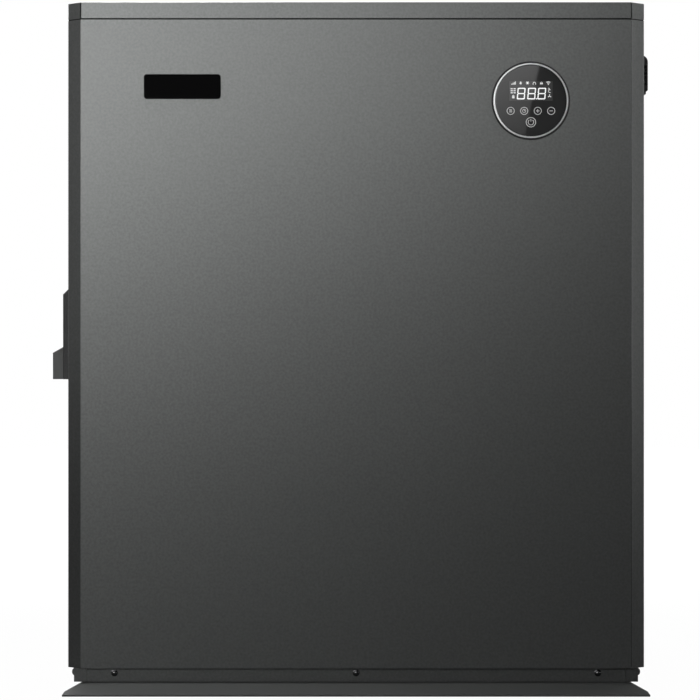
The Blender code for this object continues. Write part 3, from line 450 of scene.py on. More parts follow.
def charcoal_coat():
    """Fine-textured charcoal powder coat with a metallic flake."""
    coat = Finish("charcoal_powder_coat", (0.12, 0.123, 0.121), 0.32, Metallic=0.8)
    grain = coat.noise(330, 2)
    tone = grain * 0.7 + coat.noise(1500, 1) * 0.3
    coat.colour(coat.smoothstep(tone, 0.25, 0.75), (0.104, 0.1075, 0.1055), (0.136, 0.1395, 0.1375))
    coat.feed("Roughness", 0.29 + grain * 0.06)
    coat.bump(tone, 0.10, 0.0006)
    return coat.material


def moulded_plastic(name, dark, light, roughness):
    """Moulded plastic with a spark-eroded texture."""
    return mottled(name, dark, light, roughness - 0.06, (14, 3, 0.6), (900, 2, 0.4), 0.12, (0.12, 0.0003))


def black_lacquer(name, level, roughness, coat, specular):
    """Black lacquer, glossy or nearly matt, with the faintest orange peel."""
    colour = (level, level, level + 0.0001)
    lighter = [c * 1.6 for c in colour]
    return mottled(name, colour, lighter, roughness, (160, 1, 1), bump=(0.03, 0.0004), Coat_Weight=coat,
                   Coat_Roughness=0.06, Specular_IOR_Level=specular)


def bare_metal(name, dark, light):
    """Drawn or turned metal, dulled in patches."""
    return mottled(name, dark, light, 0.25, (26, 4, 0.7), (600, 2, 0.3), 0.18, (0.06, 0.0004), (1, 1, 0.08),
                   Metallic=1)


def lit_print(name, strength, roughness, cloud, ink, glow):
    """Pale print that also shines, a little uneven as behind a diffuser."""
    shine = Finish(name, ink[0], roughness, Emission_Strength=strength)
    clouds = shine.noise(*cloud)
    shine.colour(clouds, *ink)
    shine.colour(clouds, *glow, "Emission Color")
    return shine.material


def display_glass():
    """Black glass over a display, its lit window a touch paler than the rest."""
    black, lit = (0.042, 0.0425, 0.0425), (0.096, 0.097, 0.096)
    glass = Finish("display_glass_black", black, 0.02, IOR=1.70)
    where = glass.mapped(move=(-DISPLAY_X, 0, -DISPLAY_Z))
    x, z = glass.axis(where, "X"), glass.axis(where, "Z")
    window = (x > -0.0268) * (x < 0.0270) * (z > -0.0002) * (z < 0.0241)
    dust = glass.noise(240, 2)
    glass.colour(window * (0.75 + dust * 0.25), black, lit)
    glass.feed("Roughness", 0.01 + dust * 0.02)
    return glass.material


def galvanised_steel():
    """Zinc-coated sheet with its spangle."""
    steel = Finish("galvanised_steel", (0.45, 0.46, 0.47), 0.4, Metallic=1)
    spangle = steel.node("ShaderNodeTexVoronoi", None, {"Vector": steel.here, "Scale": 90}, "Color")
    shade = steel.axis(spangle, "X")
    steel.colour(shade, (0.36, 0.37, 0.38), (0.52, 0.53, 0.54))
    steel.feed("Roughness", 0.30 + shade * 0.18)
    steel.bump(steel.noise(60, 2), 0.05, 0.001)
    return steel.material


def coil_fins():
    """Blue coated aluminium fins on edge, darker between the fins as painted shade in their gaps, with the
    tube rows as faint paler bands.
    """
    fin_pitch, row_pitch = 0.0026, 0.0254
    fins = Finish("blue_coil_fins", (0.10, 0.22, 0.34), 0.42, Metallic=0.6)

    def wave(value, pitch):
        angle = value * (math.tau / pitch)
        return 0.5 + 0.5 * fins.node("ShaderNodeMath", {"operation": "SINE"}, {0: angle})

    fin_ridge_and_gap_shade = wave(fins.axis(fins.here, "X") + fins.axis(fins.here, "Y"), fin_pitch)
    row = wave(fins.axis(fins.here, "Z"), row_pitch)
    # The fin-pitch stripes paint shade into the gaps between fins; the same stripes give the fins their
    # relief
    shade = fin_ridge_and_gap_shade * 0.75 + row * 0.1 + fins.noise(35, 3) * 0.15
    fins.colour(shade, (0.018, 0.050, 0.085), (0.15, 0.29, 0.42))
    fins.bump(fin_ridge_and_gap_shade, 0.5, 0.0012)
    return fins.material


def circuit_board():
    """Green board with lighter tracks."""
    board = Finish("circuit_board_green", (0.02, 0.13, 0.05), 0.45)
    track = board.node("ShaderNodeTexBrick", None, {
        "Vector": board.mapped(turn=(math.pi / 2, 0, 0)), "Scale": 60, "Mortar Size": 0.03,
        "Color1": (0.015, 0.10, 0.04, 1), "Color2": (0.02, 0.14, 0.055, 1), "Mortar": (0.06, 0.26, 0.10, 1)})
    grime = board.noise(50, 3)
    board.colour(grime * 0.4, track, (0.01, 0.05, 0.03))
    board.feed("Roughness", 0.35 + grime * 0.2)
    return board.material


COAT = charcoal_coat()
PLATE_PAINT = mottled("floor_plate_paint", (0.066, 0.0685, 0.0675), (0.090, 0.0925, 0.0915), 0.64,
                      (9, 5, 0.6), (420, 2, 0.4), 0.14, (0.10, 0.0005), Specular_IOR_Level=0.08)
BLACK_PLASTIC = moulded_plastic("black_moulded_plastic", (0.007, 0.007, 0.0074), (0.011, 0.011, 0.0114), 0.5)
COVER_PLASTIC = moulded_plastic(
    "cover_moulded_plastic", (0.019, 0.0195, 0.0195), (0.026, 0.0265, 0.0265), 0.55)
GREY_PLASTIC = moulded_plastic("grey_moulded_plastic", (0.082, 0.084, 0.083), (0.106, 0.108, 0.107), 0.55)
WHITE_PLASTIC = moulded_plastic("white_pipe_plastic", (0.60, 0.61, 0.60), (0.70, 0.71, 0.70), 0.35)
BLACK_PAINT = mottled("black_gloss_paint", (0.010, 0.010, 0.011), (0.016, 0.016, 0.0176), 0.38, (160, 1, 1),
                      bump=(0.03, 0.0004), Coat_Weight=0.4, Coat_Roughness=0.06)
SCREW_BLACK = mottled("black_screw_plating", (0.110, 0.111, 0.114), (0.150, 0.151, 0.154), 0.09, (340, 2, 1),
                      spread=0.05, Metallic=1)
SEAL_FOAM = black_lacquer("black_seal_foam", 0.0016, 0.8, 0, 0.04)
BADGE_BLACK = black_lacquer("badge_black_lacquer", 0.0010, 0.6, 0, 0.04)
GLASS = display_glass()
LIT_INK, LIT_GLOW = ((0.55, 0.55, 0.55), (0.65, 0.65, 0.65)), ((0.86, 0.88, 0.88), (1, 1, 0.99))
DISPLAY_LIGHT = lit_print("display_white_light", 0.75, 0.4, (500, 1), LIT_INK, LIT_GLOW)
SIGN_LIGHT = lit_print("display_sign_light", 0.45, 0.4, (500, 1), LIT_INK, LIT_GLOW)
KEY_INK, KEY_GLOW = ((0.42, 0.43, 0.43), (0.58, 0.58, 0.58)), ((0.8, 0.82, 0.82), (1, 1, 1))
KEY_PRINT = lit_print("display_key_print", 0.25, 0.35, (700, 2), KEY_INK, KEY_GLOW)
CHROME = mottled("chrome_trim", (0.68, 0.69, 0.69), (0.74, 0.75, 0.75), 0.38, (220, 3, 1), spread=0.04,
                 Metallic=1)
STEEL = galvanised_steel()
COPPER = bare_metal("copper_tube", (0.36, 0.14, 0.07), (0.72, 0.34, 0.20))
BRASS = bare_metal("valve_brass", (0.40, 0.27, 0.09), (0.68, 0.50, 0.22))
FINS = coil_fins()
BOARD = circuit_board()
RUBBER = mottled("black_rubber", (0.009, 0.009, 0.009), (0.026, 0.026, 0.025), 0.82, (70, 4, 1), (1200, 1, 0),
                 bump=(0.15, 0.0003))


# Casing


def folded_wall(name, low, high, outward, corners):
    """A front or rear sheet, folded back by a chamfer at these sides, with lips along its head and foot."""
    face = low.y if outward < 0 else high.y
    fold, clear = CORNER + NEAR, CORNER + 0.003
    sheet = block(name, low, high)

    def at_corner(at, way, reach):
        near = abs(at.y - face) < reach and any(abs(at.x - x) < reach for x in corners)
        return near and upright(at, way)

    def on_face(at):
        return abs(at.y - face) < NEAR

    bevel(sheet, CORNER, 1, lambda at, way: at_corner(at, way, NEAR))
    bevel(sheet, FOLD_R, 3, lambda at, way: at_corner(at, way, fold) and not on_face(at))
    bevel(sheet, CRISP, 2, lambda at, way: at_corner(at, way, fold) and on_face(at))
    free_ends = [x for x in (low.x, high.x) if x not in corners]
    open_up(sheet, lambda at, way: way.y * outward < -ALONG or upright(at, way) or any(
        abs(at.x - x) < NEAR for x in free_ends))
    start = low.x + (clear if low.x in corners else 0)
    end = high.x - (clear if high.x in corners else 0)
    for level in (low.z, high.z):
        pick(sheet, "EDGE", lambda at, way: abs(at.z - level) < CLOSE and abs(at.y - face) < CLOSE and (
            start < at.x < end))
        draw_out(0, -outward * LIP, 0)
    thicken(sheet)
    return sheet


def side_wall(name, node, outer_x):
    """A flat side sheet with lips turned in along its head and foot."""
    sheet = block(name, *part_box(node))
    outward = 1 if outer_x > MIDDLE_X else -1
    bevel(sheet, FOLD_R, 3, lambda at, way: lengthwise(at, way) and abs(at.x - outer_x) < NEAR)
    open_up(sheet, lambda at, way: way.x * outward < -ALONG or lengthwise(at, way))
    thicken(sheet)
    return sheet


def slots(low, high, along):
    """Two columns of paired slots with rounded ends, as one cutter through a wall."""
    rows, height, gap, web, roundness = 13, 0.028, 0.005, 0.016, 0.48
    span = (high[along] - low[along] - web) / 2
    slot = (height - gap) / 2
    far = list(high)
    far[along] = low[along] + span
    far[2] = low[2] + slot
    cutter = block("slots", low, far)
    bevel(cutter, slot * roundness, 4, lambda at, way: abs(way[1 - along]) > ALONG)
    repeat(cutter, 2, (0, 0, (height + gap) / 2))
    repeat(cutter, rows, (0, 0, (high[2] - low[2] - height) / (rows - 1)))
    aside = [0, 0, 0]
    aside[along] = span + web
    repeat(cutter, 2, aside)
    return cutter


def front_panel():
    low = Vector((LEFT, FRONT, PANEL_BOTTOM))
    high = Vector((RIGHT, FRONT + RETURN, PANEL_TOP))
    panel = folded_wall("front_panel_sheet", low, high, -1, (LEFT, RIGHT))
    carve(panel, hole((DISPLAY_X, FRONT, DISPLAY_Z), 1, DISPLAY_OPENING_R))
    smooth(panel)
    fit(panel, COAT, "charcoal_coat", "front_panel")


def side_panels():
    """Flat sheets, each with a window behind the cover that sits on it."""
    for side, x, (low, high) in (("left", LEFT, WIRING_WINDOW), ("right", RIGHT, VENT_WINDOW)):
        sheet = side_wall(f"{side}_panel_sheet", f"{side}_panel", x)
        carve(sheet, block("window", (x - THROUGH, *low), (x + THROUGH, *high)))
        smooth(sheet)
        fit(sheet, COAT, "charcoal_coat", f"{side}_panel")


def coil_guards():
    """Slotted sheets over the coil on the left and at the rear."""
    foot, head, margin, reach = 0.075, 0.790, 0.030, 0.005
    left = side_wall("left_guard_sheet", "left_coil_guard", LEFT)
    low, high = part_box("left_coil_guard")
    start, end = (LEFT - reach, low.y + margin, foot), (LEFT + reach, high.y - margin, head)
    carve(left, slots(start, end, 1))
    low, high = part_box("rear_coil_guard")
    low.y, high.y = REAR - RETURN, REAR
    rear = folded_wall("rear_guard_sheet", low, high, 1, (low.x,))
    start, end = (LEFT + RETURN + margin, REAR - reach, foot), (high.x - margin, REAR + reach, head)
    carve(rear, slots(start, end, 0))
    ease(left, 0.0004, 50)
    smooth(rear)
    fit(left, COAT, "charcoal_coat", "left_coil_guard")
    fit(rear, COAT, "charcoal_coat", "rear_coil_guard")


def service_panel():
    """The rear sheet round the water ports, with a rubber collar at each."""
    low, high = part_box("rear_service_panel")
    panel = folded_wall("service_panel_sheet", low, high, 1, (high.x,))
    profile = [(0.0302, -0.004), (0.0336, -0.004), (0.0336, 0.0002), (0.0375, 0.0002), (0.0372, 0.0014),
               (0.0362, 0.0022), (0.0322, 0.0030), (0.0302, 0.0030), (0.0302, -0.004)]
    for port in PORTS:
        x, _, z = middle(f"{port}_pipe")
        carve(panel, hole((x, REAR, z), 1, PORT_OPENING_R))
        collar = turned(f"{port}_port_collar", profile, (x, REAR, z), "Y", 64)
        smooth(collar)
        fit(collar, RUBBER, "rubber")
    smooth(panel)
    fit(panel, COAT, "charcoal_coat", "rear_service_panel")


def top_cover():
    """The lid: a folded tray upside down, with open slits where its flaps meet."""
    edge, flap_reach, flap_drop = 0.0011, CORNER + 0.0011, 0.0007
    lid = block("top_cover_tray", CASING_LOW, CASING_HIGH)
    bevel(lid, CORNER, 1, upright)
    bevel(lid, edge, 3, lambda at, way: at.z > LID_TOP - CLOSE)
    pick(lid, "FACE", lambda at, way: way.z < -ALONG)
    bpy.ops.mesh.inset(thickness=LID_RETURN, depth=0)
    bpy.ops.mesh.delete(type="FACE")
    bevel(lid, FLAP_SLIT / 2, 1, lambda at, way: upright(at, way) and at.z < LID_TOP - 0.005)
    open_up(lid, lambda at, way: abs(way.z) < 0.1 and abs(abs(way.x) - abs(way.y)) > 0.3 and (
        min(abs(way.x), abs(way.y)) > 0.2))
    # The chamfers' flaps hang a little lower at the front
    pick(lid, "VERT", lambda at, way: at.z < LID_BOTTOM + CLOSE and at.y - FRONT > CLOSE and (
        CLOSE < min(at.x - LEFT, RIGHT - at.x) < flap_reach - (at.y - FRONT)))
    bpy.ops.transform.translate(value=(0, 0, -flap_drop))
    thicken(lid)
    carve(lid, hole((MIDDLE_X, 0, LID_TOP), 2, FAN_OPENING_R, 128))
    smooth(lid)
    fit(lid, COAT, "charcoal_coat", "top_cover")


def lid_seal():
    """A dark strip that fills the joint between the lid and the panels."""
    set_back, gap, width = 0.0005, 0.0002, 0.012
    low = Vector((LEFT + set_back, FRONT + set_back, PANEL_TOP + gap))
    high = Vector((RIGHT - set_back, REAR - set_back, LID_BOTTOM - gap))
    seal = block("lid_seal_strip", low, high)
    bevel(seal, CORNER, 1, upright)
    pick(seal, "FACE", upright)
    bpy.ops.mesh.inset(thickness=width, depth=0)
    bpy.ops.mesh.bridge_edge_loops()
    smooth(seal)
    fit(seal, SEAL_FOAM, "rubber", "lid_seal")


def right_fold_shade_line():
    """A hair-thin dark strip along the front panel's right-hand fold: painted shade where the fold turns away
    from the light.
    """
    width, proud, sunk, short = 0.0004, 0.00006, 0.0002, 0.002
    x = RIGHT - CORNER - 0.0001
    low = (x - width, FRONT - proud, PANEL_BOTTOM + short)
    line = block("right_fold_painted_shade", low, (x, FRONT + sunk, PANEL_TOP - short))
    smooth(line)
    fit(line, SEAL_FOAM, "rubber")


def base_pan():
    """A square tray with a rolled bead along each side, and tabs folded round its corners."""
    bead_down, bead_r, flatness, short, joint = 0.0046, 0.0042, 0.6, 0.0015, 0.0020
    pan = block("base_pan_tray", PAN_LOW, PAN_HIGH)
    open_up(pan, lambda at, way: way.z > ALONG)
    thicken(pan)
    bevel(pan, PAN_CORNER, 3, lambda at, way: upright(at, way) and at.x in (PAN_LOW.x, PAN_HIGH.x))
    bevel(pan, CRISP, 2, lambda at, way: at.z < PAN_LOW.z + 0.0002)
    level = PAN_HIGH.z - bead_down
    for x in (PAN_LOW.x, PAN_HIGH.x):
        bead = rod("side_bead", (x, PAN_LOW.y + short, level), (x, PAN_HIGH.y - short, level), bead_r)
        pick(bead, "VERT", anything)
        bpy.ops.transform.resize(value=(flatness, 1, 1), center_override=(x, 0, level))
        weld(pan, bead)
    for x in (PAN_LOW.x + PAN_TAB, PAN_HIGH.x - PAN_TAB):
        for y in (PAN_LOW.y, PAN_HIGH.y):
            low = (x - HAIRLINE / 2, y - joint, PAN_LOW.z - NEAR)
            high = (x + HAIRLINE / 2, y + joint, PAN_HIGH.z + NEAR)
            carve(pan, block("tab_joint", low, high))
    smooth(pan)
    fit(pan, COAT, "charcoal_coat", "base_pan")


def wall_up(piece, wall, way):
    """Gives a strip its wall, above its skin (1) or under it (-1)."""
    face_out(piece)
    flat = max(piece.data.polygons, key=lambda face: face.area)
    use(piece, "SOLIDIFY", thickness=wall, offset=way if flat.normal.z > 0 else -way, use_even_offset=True)


def foot_rail(name, node, side):
    """A sheet that ramps up to a ledge under the pan, on a sole with a web. side is -1 in front, 1 behind."""
    sole, skin, kink_in, kink_half, head_half, ledge = 0.0022, 0.0016, 0.020, 0.3588, 0.3430, 0.050
    low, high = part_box(node)
    half = (high.x - low.x) / 2
    outer, inner = (low.y, high.y) if side < 0 else (high.y, low.y)
    head = PAN_LOW.y if side < 0 else PAN_HIGH.y
    kink = outer - side * kink_in

    def draw_on(way, width, new_width):
        draw_out(*way)
        bpy.ops.transform.resize(value=(new_width / width, 1, 1), center_override=(MIDDLE_X, 0, 0))

    def strip(name, slope):
        """A strip from the outer edge to below the pan's, rising at this slope, its inner edge selected."""
        start = outer - side * NEAR
        let_go()
        bpy.ops.mesh.primitive_plane_add(size=1, location=(MIDDLE_X, (outer + start) / 2, 0))
        bpy.context.object.scale = (2 * half, abs(start - outer), 1)
        made = settle(name)
        pick(made, "EDGE", lambda at, way: abs(at.y - outer) > CLOSE)
        bpy.ops.transform.translate(value=(0, 0, slope * NEAR))
        draw_on((0, kink - start, slope * (kink_in - NEAR)), half, kink_half)
        draw_on((0, head - kink, slope * abs(head - kink)), kink_half, head_half)
        return made

    ramp = strip("foot_ramp", (high.z - sole) / abs(head - outer))
    draw_out(0, inner - head, 0)
    bpy.ops.mesh.select_all(action="SELECT")
    bpy.ops.transform.translate(value=(0, 0, sole))
    wall_up(ramp, skin, -1)
    plate = strip("foot_sole", 0)
    draw_out(0, inner + side * ledge - head, 0)
    draw_out(0, 0, high.z - skin)
    wall_up(plate, sole, 1)
    rail = together(name, ramp, plate)
    ease(rail, 0.0004)
    fit(rail, PLATE_PAINT, "charcoal_coat", node)


# Covers on the sides


def cover_screw_places():
    """Depth and height of the screws that hold the wiring cover."""
    margin, head_margin = 0.012, 0.020
    low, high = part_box("wiring_cover")
    head = high.z - head_margin
    return (low.y + margin, head), (high.y - margin, head), (high.y - margin, low.z + margin)


def wiring_cover():
    """A shallow cover over the terminals, its head sloped, with a boss and a pocket for each screw."""
    slope, edge_r, boss_r, pocket_r, boss_start, boss_end = 0.0069, 0.0012, 0.0070, 0.0046, 0.0010, 0.0060
    low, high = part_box("wiring_cover")
    cover = block("wiring_cover_shell", low, high)
    bevel(cover, slope, 1, lambda at, way: lengthwise(at, way) and (
        at.x < low.x + NEAR and at.z > high.z - NEAR))
    bevel(cover, edge_r, 3, lambda at, way: abs(way.y) < 0.1 and abs(way.x) < ALONG and at.x < low.x + 0.008)
    open_up(cover, lambda at, way: way.x > ALONG)
    thicken(cover, COVER_WALL)
    for y, z in cover_screw_places():
        weld(cover, rod("screw_boss", (low.x + boss_start, y, z), (low.x + boss_end, y, z), boss_r))
        carve(cover, rod("screw_pocket", (low.x - NEAR, y, z), (low.x + COVER_POCKET, y, z), pocket_r))
    ease(cover, 0.0004)
    fit(cover, COVER_PLASTIC, "black_plastic", "wiring_cover")


def cable_hood():
    """A hood with a sloped head over the cable's way in."""
    slope, edge_r, cable_r = 0.008, 0.0010, 0.0052
    low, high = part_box("cable_hood")
    hood = block("cable_hood_shell", low, high)
    pick(hood, "VERT", lambda at, way: at.x < low.x + NEAR and at.z > high.z - NEAR)
    bpy.ops.transform.translate(value=(0, 0, -slope))
    bevel(hood, edge_r, 3, lambda at, way: upright(at, way) and at.x < low.x + NEAR)
    open_up(hood, lambda at, way: way.x > ALONG)
    thicken(hood, COVER_WALL)
    x, y, _ = middle("cable_grommet")
    carve(hood, hole((x, y, low.z), 2, cable_r, 32))
    ease(hood, 0.0004)
    fit(hood, GREY_PLASTIC, "grey_plastic", "cable_hood")


def side_vent():
    """A rain hood with a rounded head, a step along its foot and six slots in each end."""
    step, lip, crown_r, foot_r = 0.0036, 0.0063, 0.0084, 0.0018
    slot_count, slot_foot, slot_head, pitch, depth = 6, 0.7600, 0.7621, 0.0042, 0.014
    inner_wall, outer_wall = 0.0008, 0.0013
    low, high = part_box("side_vent")
    vent = block("side_vent_hood", low, high)

    def outer(at, way):
        return lengthwise(at, way) and at.x > high.x - NEAR

    bevel(vent, crown_r, 8, lambda at, way: outer(at, way) and at.z > high.z - NEAR)
    start = low + Vector((lip, -THROUGH, -THROUGH))
    carve(vent, block("vent_step", start, (high.x + THROUGH, high.y + THROUGH, low.z + step)))
    bevel(vent, foot_r, 3, lambda at, way: outer(at, way) and at.z < low.z + step + NEAR)
    for start, end in ((low.y - THROUGH, low.y + depth), (high.y - depth, high.y + THROUGH)):
        slot_low, slot_high = (low.x + inner_wall, start, slot_foot), (high.x - outer_wall, end, slot_head)
        slot = block("vent_slot", slot_low, slot_high)
        repeat(slot, slot_count, (0, 0, pitch))
        carve(vent, slot)
    ease(vent, 0.0002)
    fit(vent, BLACK_PLASTIC, "black_plastic", "side_vent")


# Display, badge and screws


def on_glass(dx, dz, depth):
    return Vector((DISPLAY_X + dx, GLASS_LOW.y - depth, DISPLAY_Z + dz))


def bar(dx, dz, width, height, cut=0, turn=0):
    """A flat bar on the glass, its corners cut off, turned about its middle."""
    half = Vector((width / 2, 0, height / 2))
    at = on_glass(dx, dz, 0)
    made = block("bar", on_glass(dx, dz, PRINT_DEPTH) - half, at + half)
    if cut:
        bevel(made, cut, 1, lengthwise)
    if turn:
        let_go()
        made.data.transform(Matrix.Translation(at) @ Matrix.Rotation(turn, 4, "Y") @ Matrix.Translation(-at))
    return made


def ring(dx, dz, radius, stroke):
    """A thin printed ring on the glass."""
    inner = radius - stroke
    profile = [(inner, 0), (radius, 0), (radius, PRINT_DEPTH), (inner, PRINT_DEPTH), (inner, 0)]
    return turned("ring", profile, on_glass(dx, dz, 0), "-Y", 40)


def arc(dx, dz, radius, stroke, start=0, end=180):
    """Part of a ring between two angles in degrees, anticlockwise from the right."""
    let_go()
    bpy.ops.mesh.primitive_plane_add(size=1, location=(radius - stroke / 2, -PRINT_DEPTH / 2, 0))
    bpy.context.object.scale = (stroke, PRINT_DEPTH, 1)
    made = settle("arc")
    bpy.ops.object.mode_set(mode="EDIT")
    bpy.ops.mesh.select_all(action="SELECT")
    bpy.ops.mesh.spin(steps=20, angle=math.radians(end - start), center=(0, 0, 0), axis=(0, 1, 0))
    face_out(made)
    turn = Matrix.Rotation(-math.radians(start), 4, "Y")
    made.data.transform(Matrix.Translation(on_glass(dx, dz, 0)) @ turn)
    return made


def disc(dx, dz, radius, sides=24):
    return rod("disc", on_glass(dx, dz, 0), on_glass(dx, dz, PRINT_DEPTH), radius, sides)


def digit(left, right):
    """A figure eight of seven bars."""
    foot, head, stroke = 0.0015, 0.0159, 0.0014
    centre, half = (foot + head) / 2, (head - foot) / 2
    width = right - left - stroke * 0.9
    across = (left + right) / 2
    cut = stroke * 0.42
    bars = [bar(across, z, width, stroke, cut) for z in (foot + stroke / 2, centre, head - stroke / 2)]
    for x in (left + stroke / 2, right - stroke / 2):
        for z in (centre - half / 2, centre + half / 2):
            bars.append(bar(x, z, stroke, half - stroke * 0.35, cut))
    return bars


def display_digits():
    """Three leaning figures and a point, lit from behind."""
    slant, level = 0.085, 0.0087
    figures = together("digits", *digit(-0.0171, -0.0071), *digit(-0.0041, 0.0059), *digit(0.0085, 0.0185))
    lean = Matrix.Identity(4)
    lean[0][2] = slant
    pivot = on_glass(0, level, 0)
    figures.data.transform(Matrix.Translation(pivot) @ lean @ Matrix.Translation(-pivot))
    fit(together("display_digits", figures, disc(0.0070, 0.0022, 0.0008)), DISPLAY_LIGHT, "white_plastic")


def display_signs():
    """Plain symbols round the digits, lit from behind."""
    # Rising bars, a drop, a star, an arch, a pot and waves along the top
    row = 0.0219
    parts = []
    for i in range(4):
        height = 0.0012 + 0.0010 * i
        parts.append(bar(-0.0238 + 0.0015 * i, row - 0.0021 + height / 2, 0.0011, height))
    parts += [disc(-0.0127, row - 0.0004, 0.0014)]
    parts += [bar(-0.0127, row + 0.0010, 0.0016, 0.0016, turn=math.pi / 4)]
    parts += [bar(-0.0043, row, 0.0042, 0.0007, turn=math.radians(60 * i)) for i in range(3)]
    parts += [disc(-0.0043, row, 0.0012, 12)]
    parts += [arc(0.0043, row - 0.0006, 0.0020, 0.0008)]
    parts += [bar(dx, row - 0.0013, 0.0008, 0.0016) for dx in (0.0027, 0.0059)]
    parts += [bar(0.0131, row - 0.0009, 0.0038, 0.0015, 0.0004), arc(0.0131, row - 0.0003, 0.0016, 0.0006)]
    parts += [arc(0.0216, row - 0.0022, 0.0014 + 0.0014 * i, 0.0009, 50, 130) for i in range(3)]
    parts += [disc(0.0216, row - 0.0020, 0.0005, 12)]
    # Two columns of bars and a lock on the left
    parts += [bar(dx, dz, 0.0028, 0.0014) for dx in (-0.0239, -0.0203) for dz in (0.0147, 0.0122, 0.0097)]
    parts += [bar(-0.0219, 0.0042, 0.0032, 0.0030, 0.0006), arc(-0.0219, 0.0056, 0.0014, 0.0007)]
    # A small ring, an open ring and a three-bladed fan on the right
    parts += [ring(0.0224, 0.0147, 0.0011, 0.0005), arc(0.0236, 0.0117, 0.0021, 0.0007, 60, 300)]
    for i in range(3):
        angle = math.radians(90 + 120 * i)
        dx, dz = 0.0232 + 0.0012 * math.cos(angle), 0.0056 + 0.0012 * math.sin(angle)
        parts.append(bar(dx, dz, 0.0010, 0.0024, 0.0003, math.pi / 2 - angle))
    fit(together("display_signs", *parts), SIGN_LIGHT, "white_plastic")


def display_keys():
    """Four round touch keys and the power key, printed on the glass."""
    row, power, reach, stroke = -0.0128, -0.0269, 0.0049, 0.0008
    menu, clock, plus, minus = -0.0252, -0.0084, 0.0085, 0.0252
    keys = [ring(dx, row, reach, stroke) for dx in (menu, clock, plus, minus)]
    keys += [bar(menu, row + 0.0014 * i, 0.0034, 0.0007) for i in (-1, 0, 1)]
    keys += [ring(clock, row, 0.0024, 0.0006), bar(clock, row + 0.0008, 0.0006, 0.0018)]
    keys += [bar(clock + 0.0007, row, 0.0014, 0.0006)]
    keys += [bar(plus, row, 0.0042, 0.0009), bar(plus, row, 0.0009, 0.0042), bar(minus, row, 0.0040, 0.0009)]
    keys += [ring(0, power, 0.0063, stroke), arc(0, power, 0.0038, stroke, 125, 415)]
    keys += [bar(0, power + 0.0026, stroke, 0.0034)]
    fit(together("display_keys", *keys), KEY_PRINT, "white_plastic")


def display():
    """A pane of black glass in a bright ring, on a dark seat."""
    inner, outer, foot, crown = 0.0447, 0.0467, 0.0010, 0.0034
    depth = FRONT - GLASS_LOW.y
    seat = [(0.0446, 0.0004), (0.0486, 0.0004), (0.0489, 0.0006), (0.0489, 0.0009), (0.0486, 0.0012),
            (0.0446, 0.0012), (0.0446, 0.0004)]
    trim = [(outer, foot), (outer, crown - 0.0005), (outer - 0.0002, crown - 0.00015),
            (inner + 0.0003, crown), (inner + 0.0001, crown - 0.0001), (inner, crown - 0.0003), (inner, foot),
            (outer, foot)]
    pane = [(GLASS_R, 0.0004), (GLASS_R, depth - 0.0006), (GLASS_R - 0.0003, depth - 0.0001),
            (GLASS_R - 0.0007, depth)]
    for name, profile, crease, *looks in (
        ("display_seat", seat, 35, BLACK_PLASTIC, "black_plastic"),
        ("display_ring", trim, 40, CHROME, "chrome_ring", "display_bezel"),
        ("display_pane", pane, 35, GLASS, "display_glass", "display_glass"),
    ):
        piece = turned(name, profile, (DISPLAY_X, FRONT, DISPLAY_Z), "-Y", 128)
        smooth(piece, crease)
        fit(piece, *looks)
    display_digits()
    display_signs()
    display_keys()


def badge():
    """A small black plate with rounded corners and a soft raised rim, left bare."""
    corner_r, rim, sunk = 0.0036, 0.0008, 0.0003
    plate = block("badge_plaque", *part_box("badge_plate"))
    bevel(plate, corner_r, 6, lengthwise)
    pick(plate, "FACE", lambda at, way: way.y < -ALONG)
    bpy.ops.mesh.inset(thickness=rim, depth=0)
    bpy.ops.mesh.inset(thickness=sunk, depth=-sunk)
    ease(plate, 0.0003)
    fit(plate, BADGE_BLACK, "black_plastic", "badge_plate")


def domed_screw():
    """A washer-head screw with a plain dome, standing on its seat at the origin and facing up."""
    head, foot, rise, steps = 0.0043, 0.0012, 0.0019, 8
    profile = [(head * 0.92, 0), (head, 0.0003), (head, 0.0007), (head * 0.93, 0.0010), (head * 0.80, 0.0011)]
    for k in range(1, steps):
        angle = math.radians(90 * k / steps)
        profile.append((head * 0.78 * math.cos(angle), foot + rise * math.sin(angle)))
    profile.append((0.0002, 0.0031))
    screw = turned("domed_screw", profile, sides=40)
    smooth(screw)
    return screw


def cross_screw():
    """A pan-head screw with a cross recess, standing on its seat at the origin and facing up."""
    head, long, short, floor = 0.0040, 0.0021, 0.00045, 0.0014
    profile = [(head * 0.95, 0), (head, 0.0004), (head * 0.97, 0.0013), (head * 0.85, 0.0020),
               (head * 0.60, 0.0024), (head * 0.25, 0.0025)]
    screw = turned("cross_screw", profile, sides=24)
    for x, y in ((long, short), (short, long)):
        carve(screw, block("recess", (-x, -y, floor), (x, y, 0.004)))
    smooth(screw)
    return screw


def screw_set(name, screw, places):
    """Copies of a screw at (axis, place) pairs, as one piece."""
    copies = [copy_of(screw, "screw_copy", TURNS[axis], at) for axis, at in places]
    fit(together(name, *copies), SCREW_BLACK, "screw_steel")


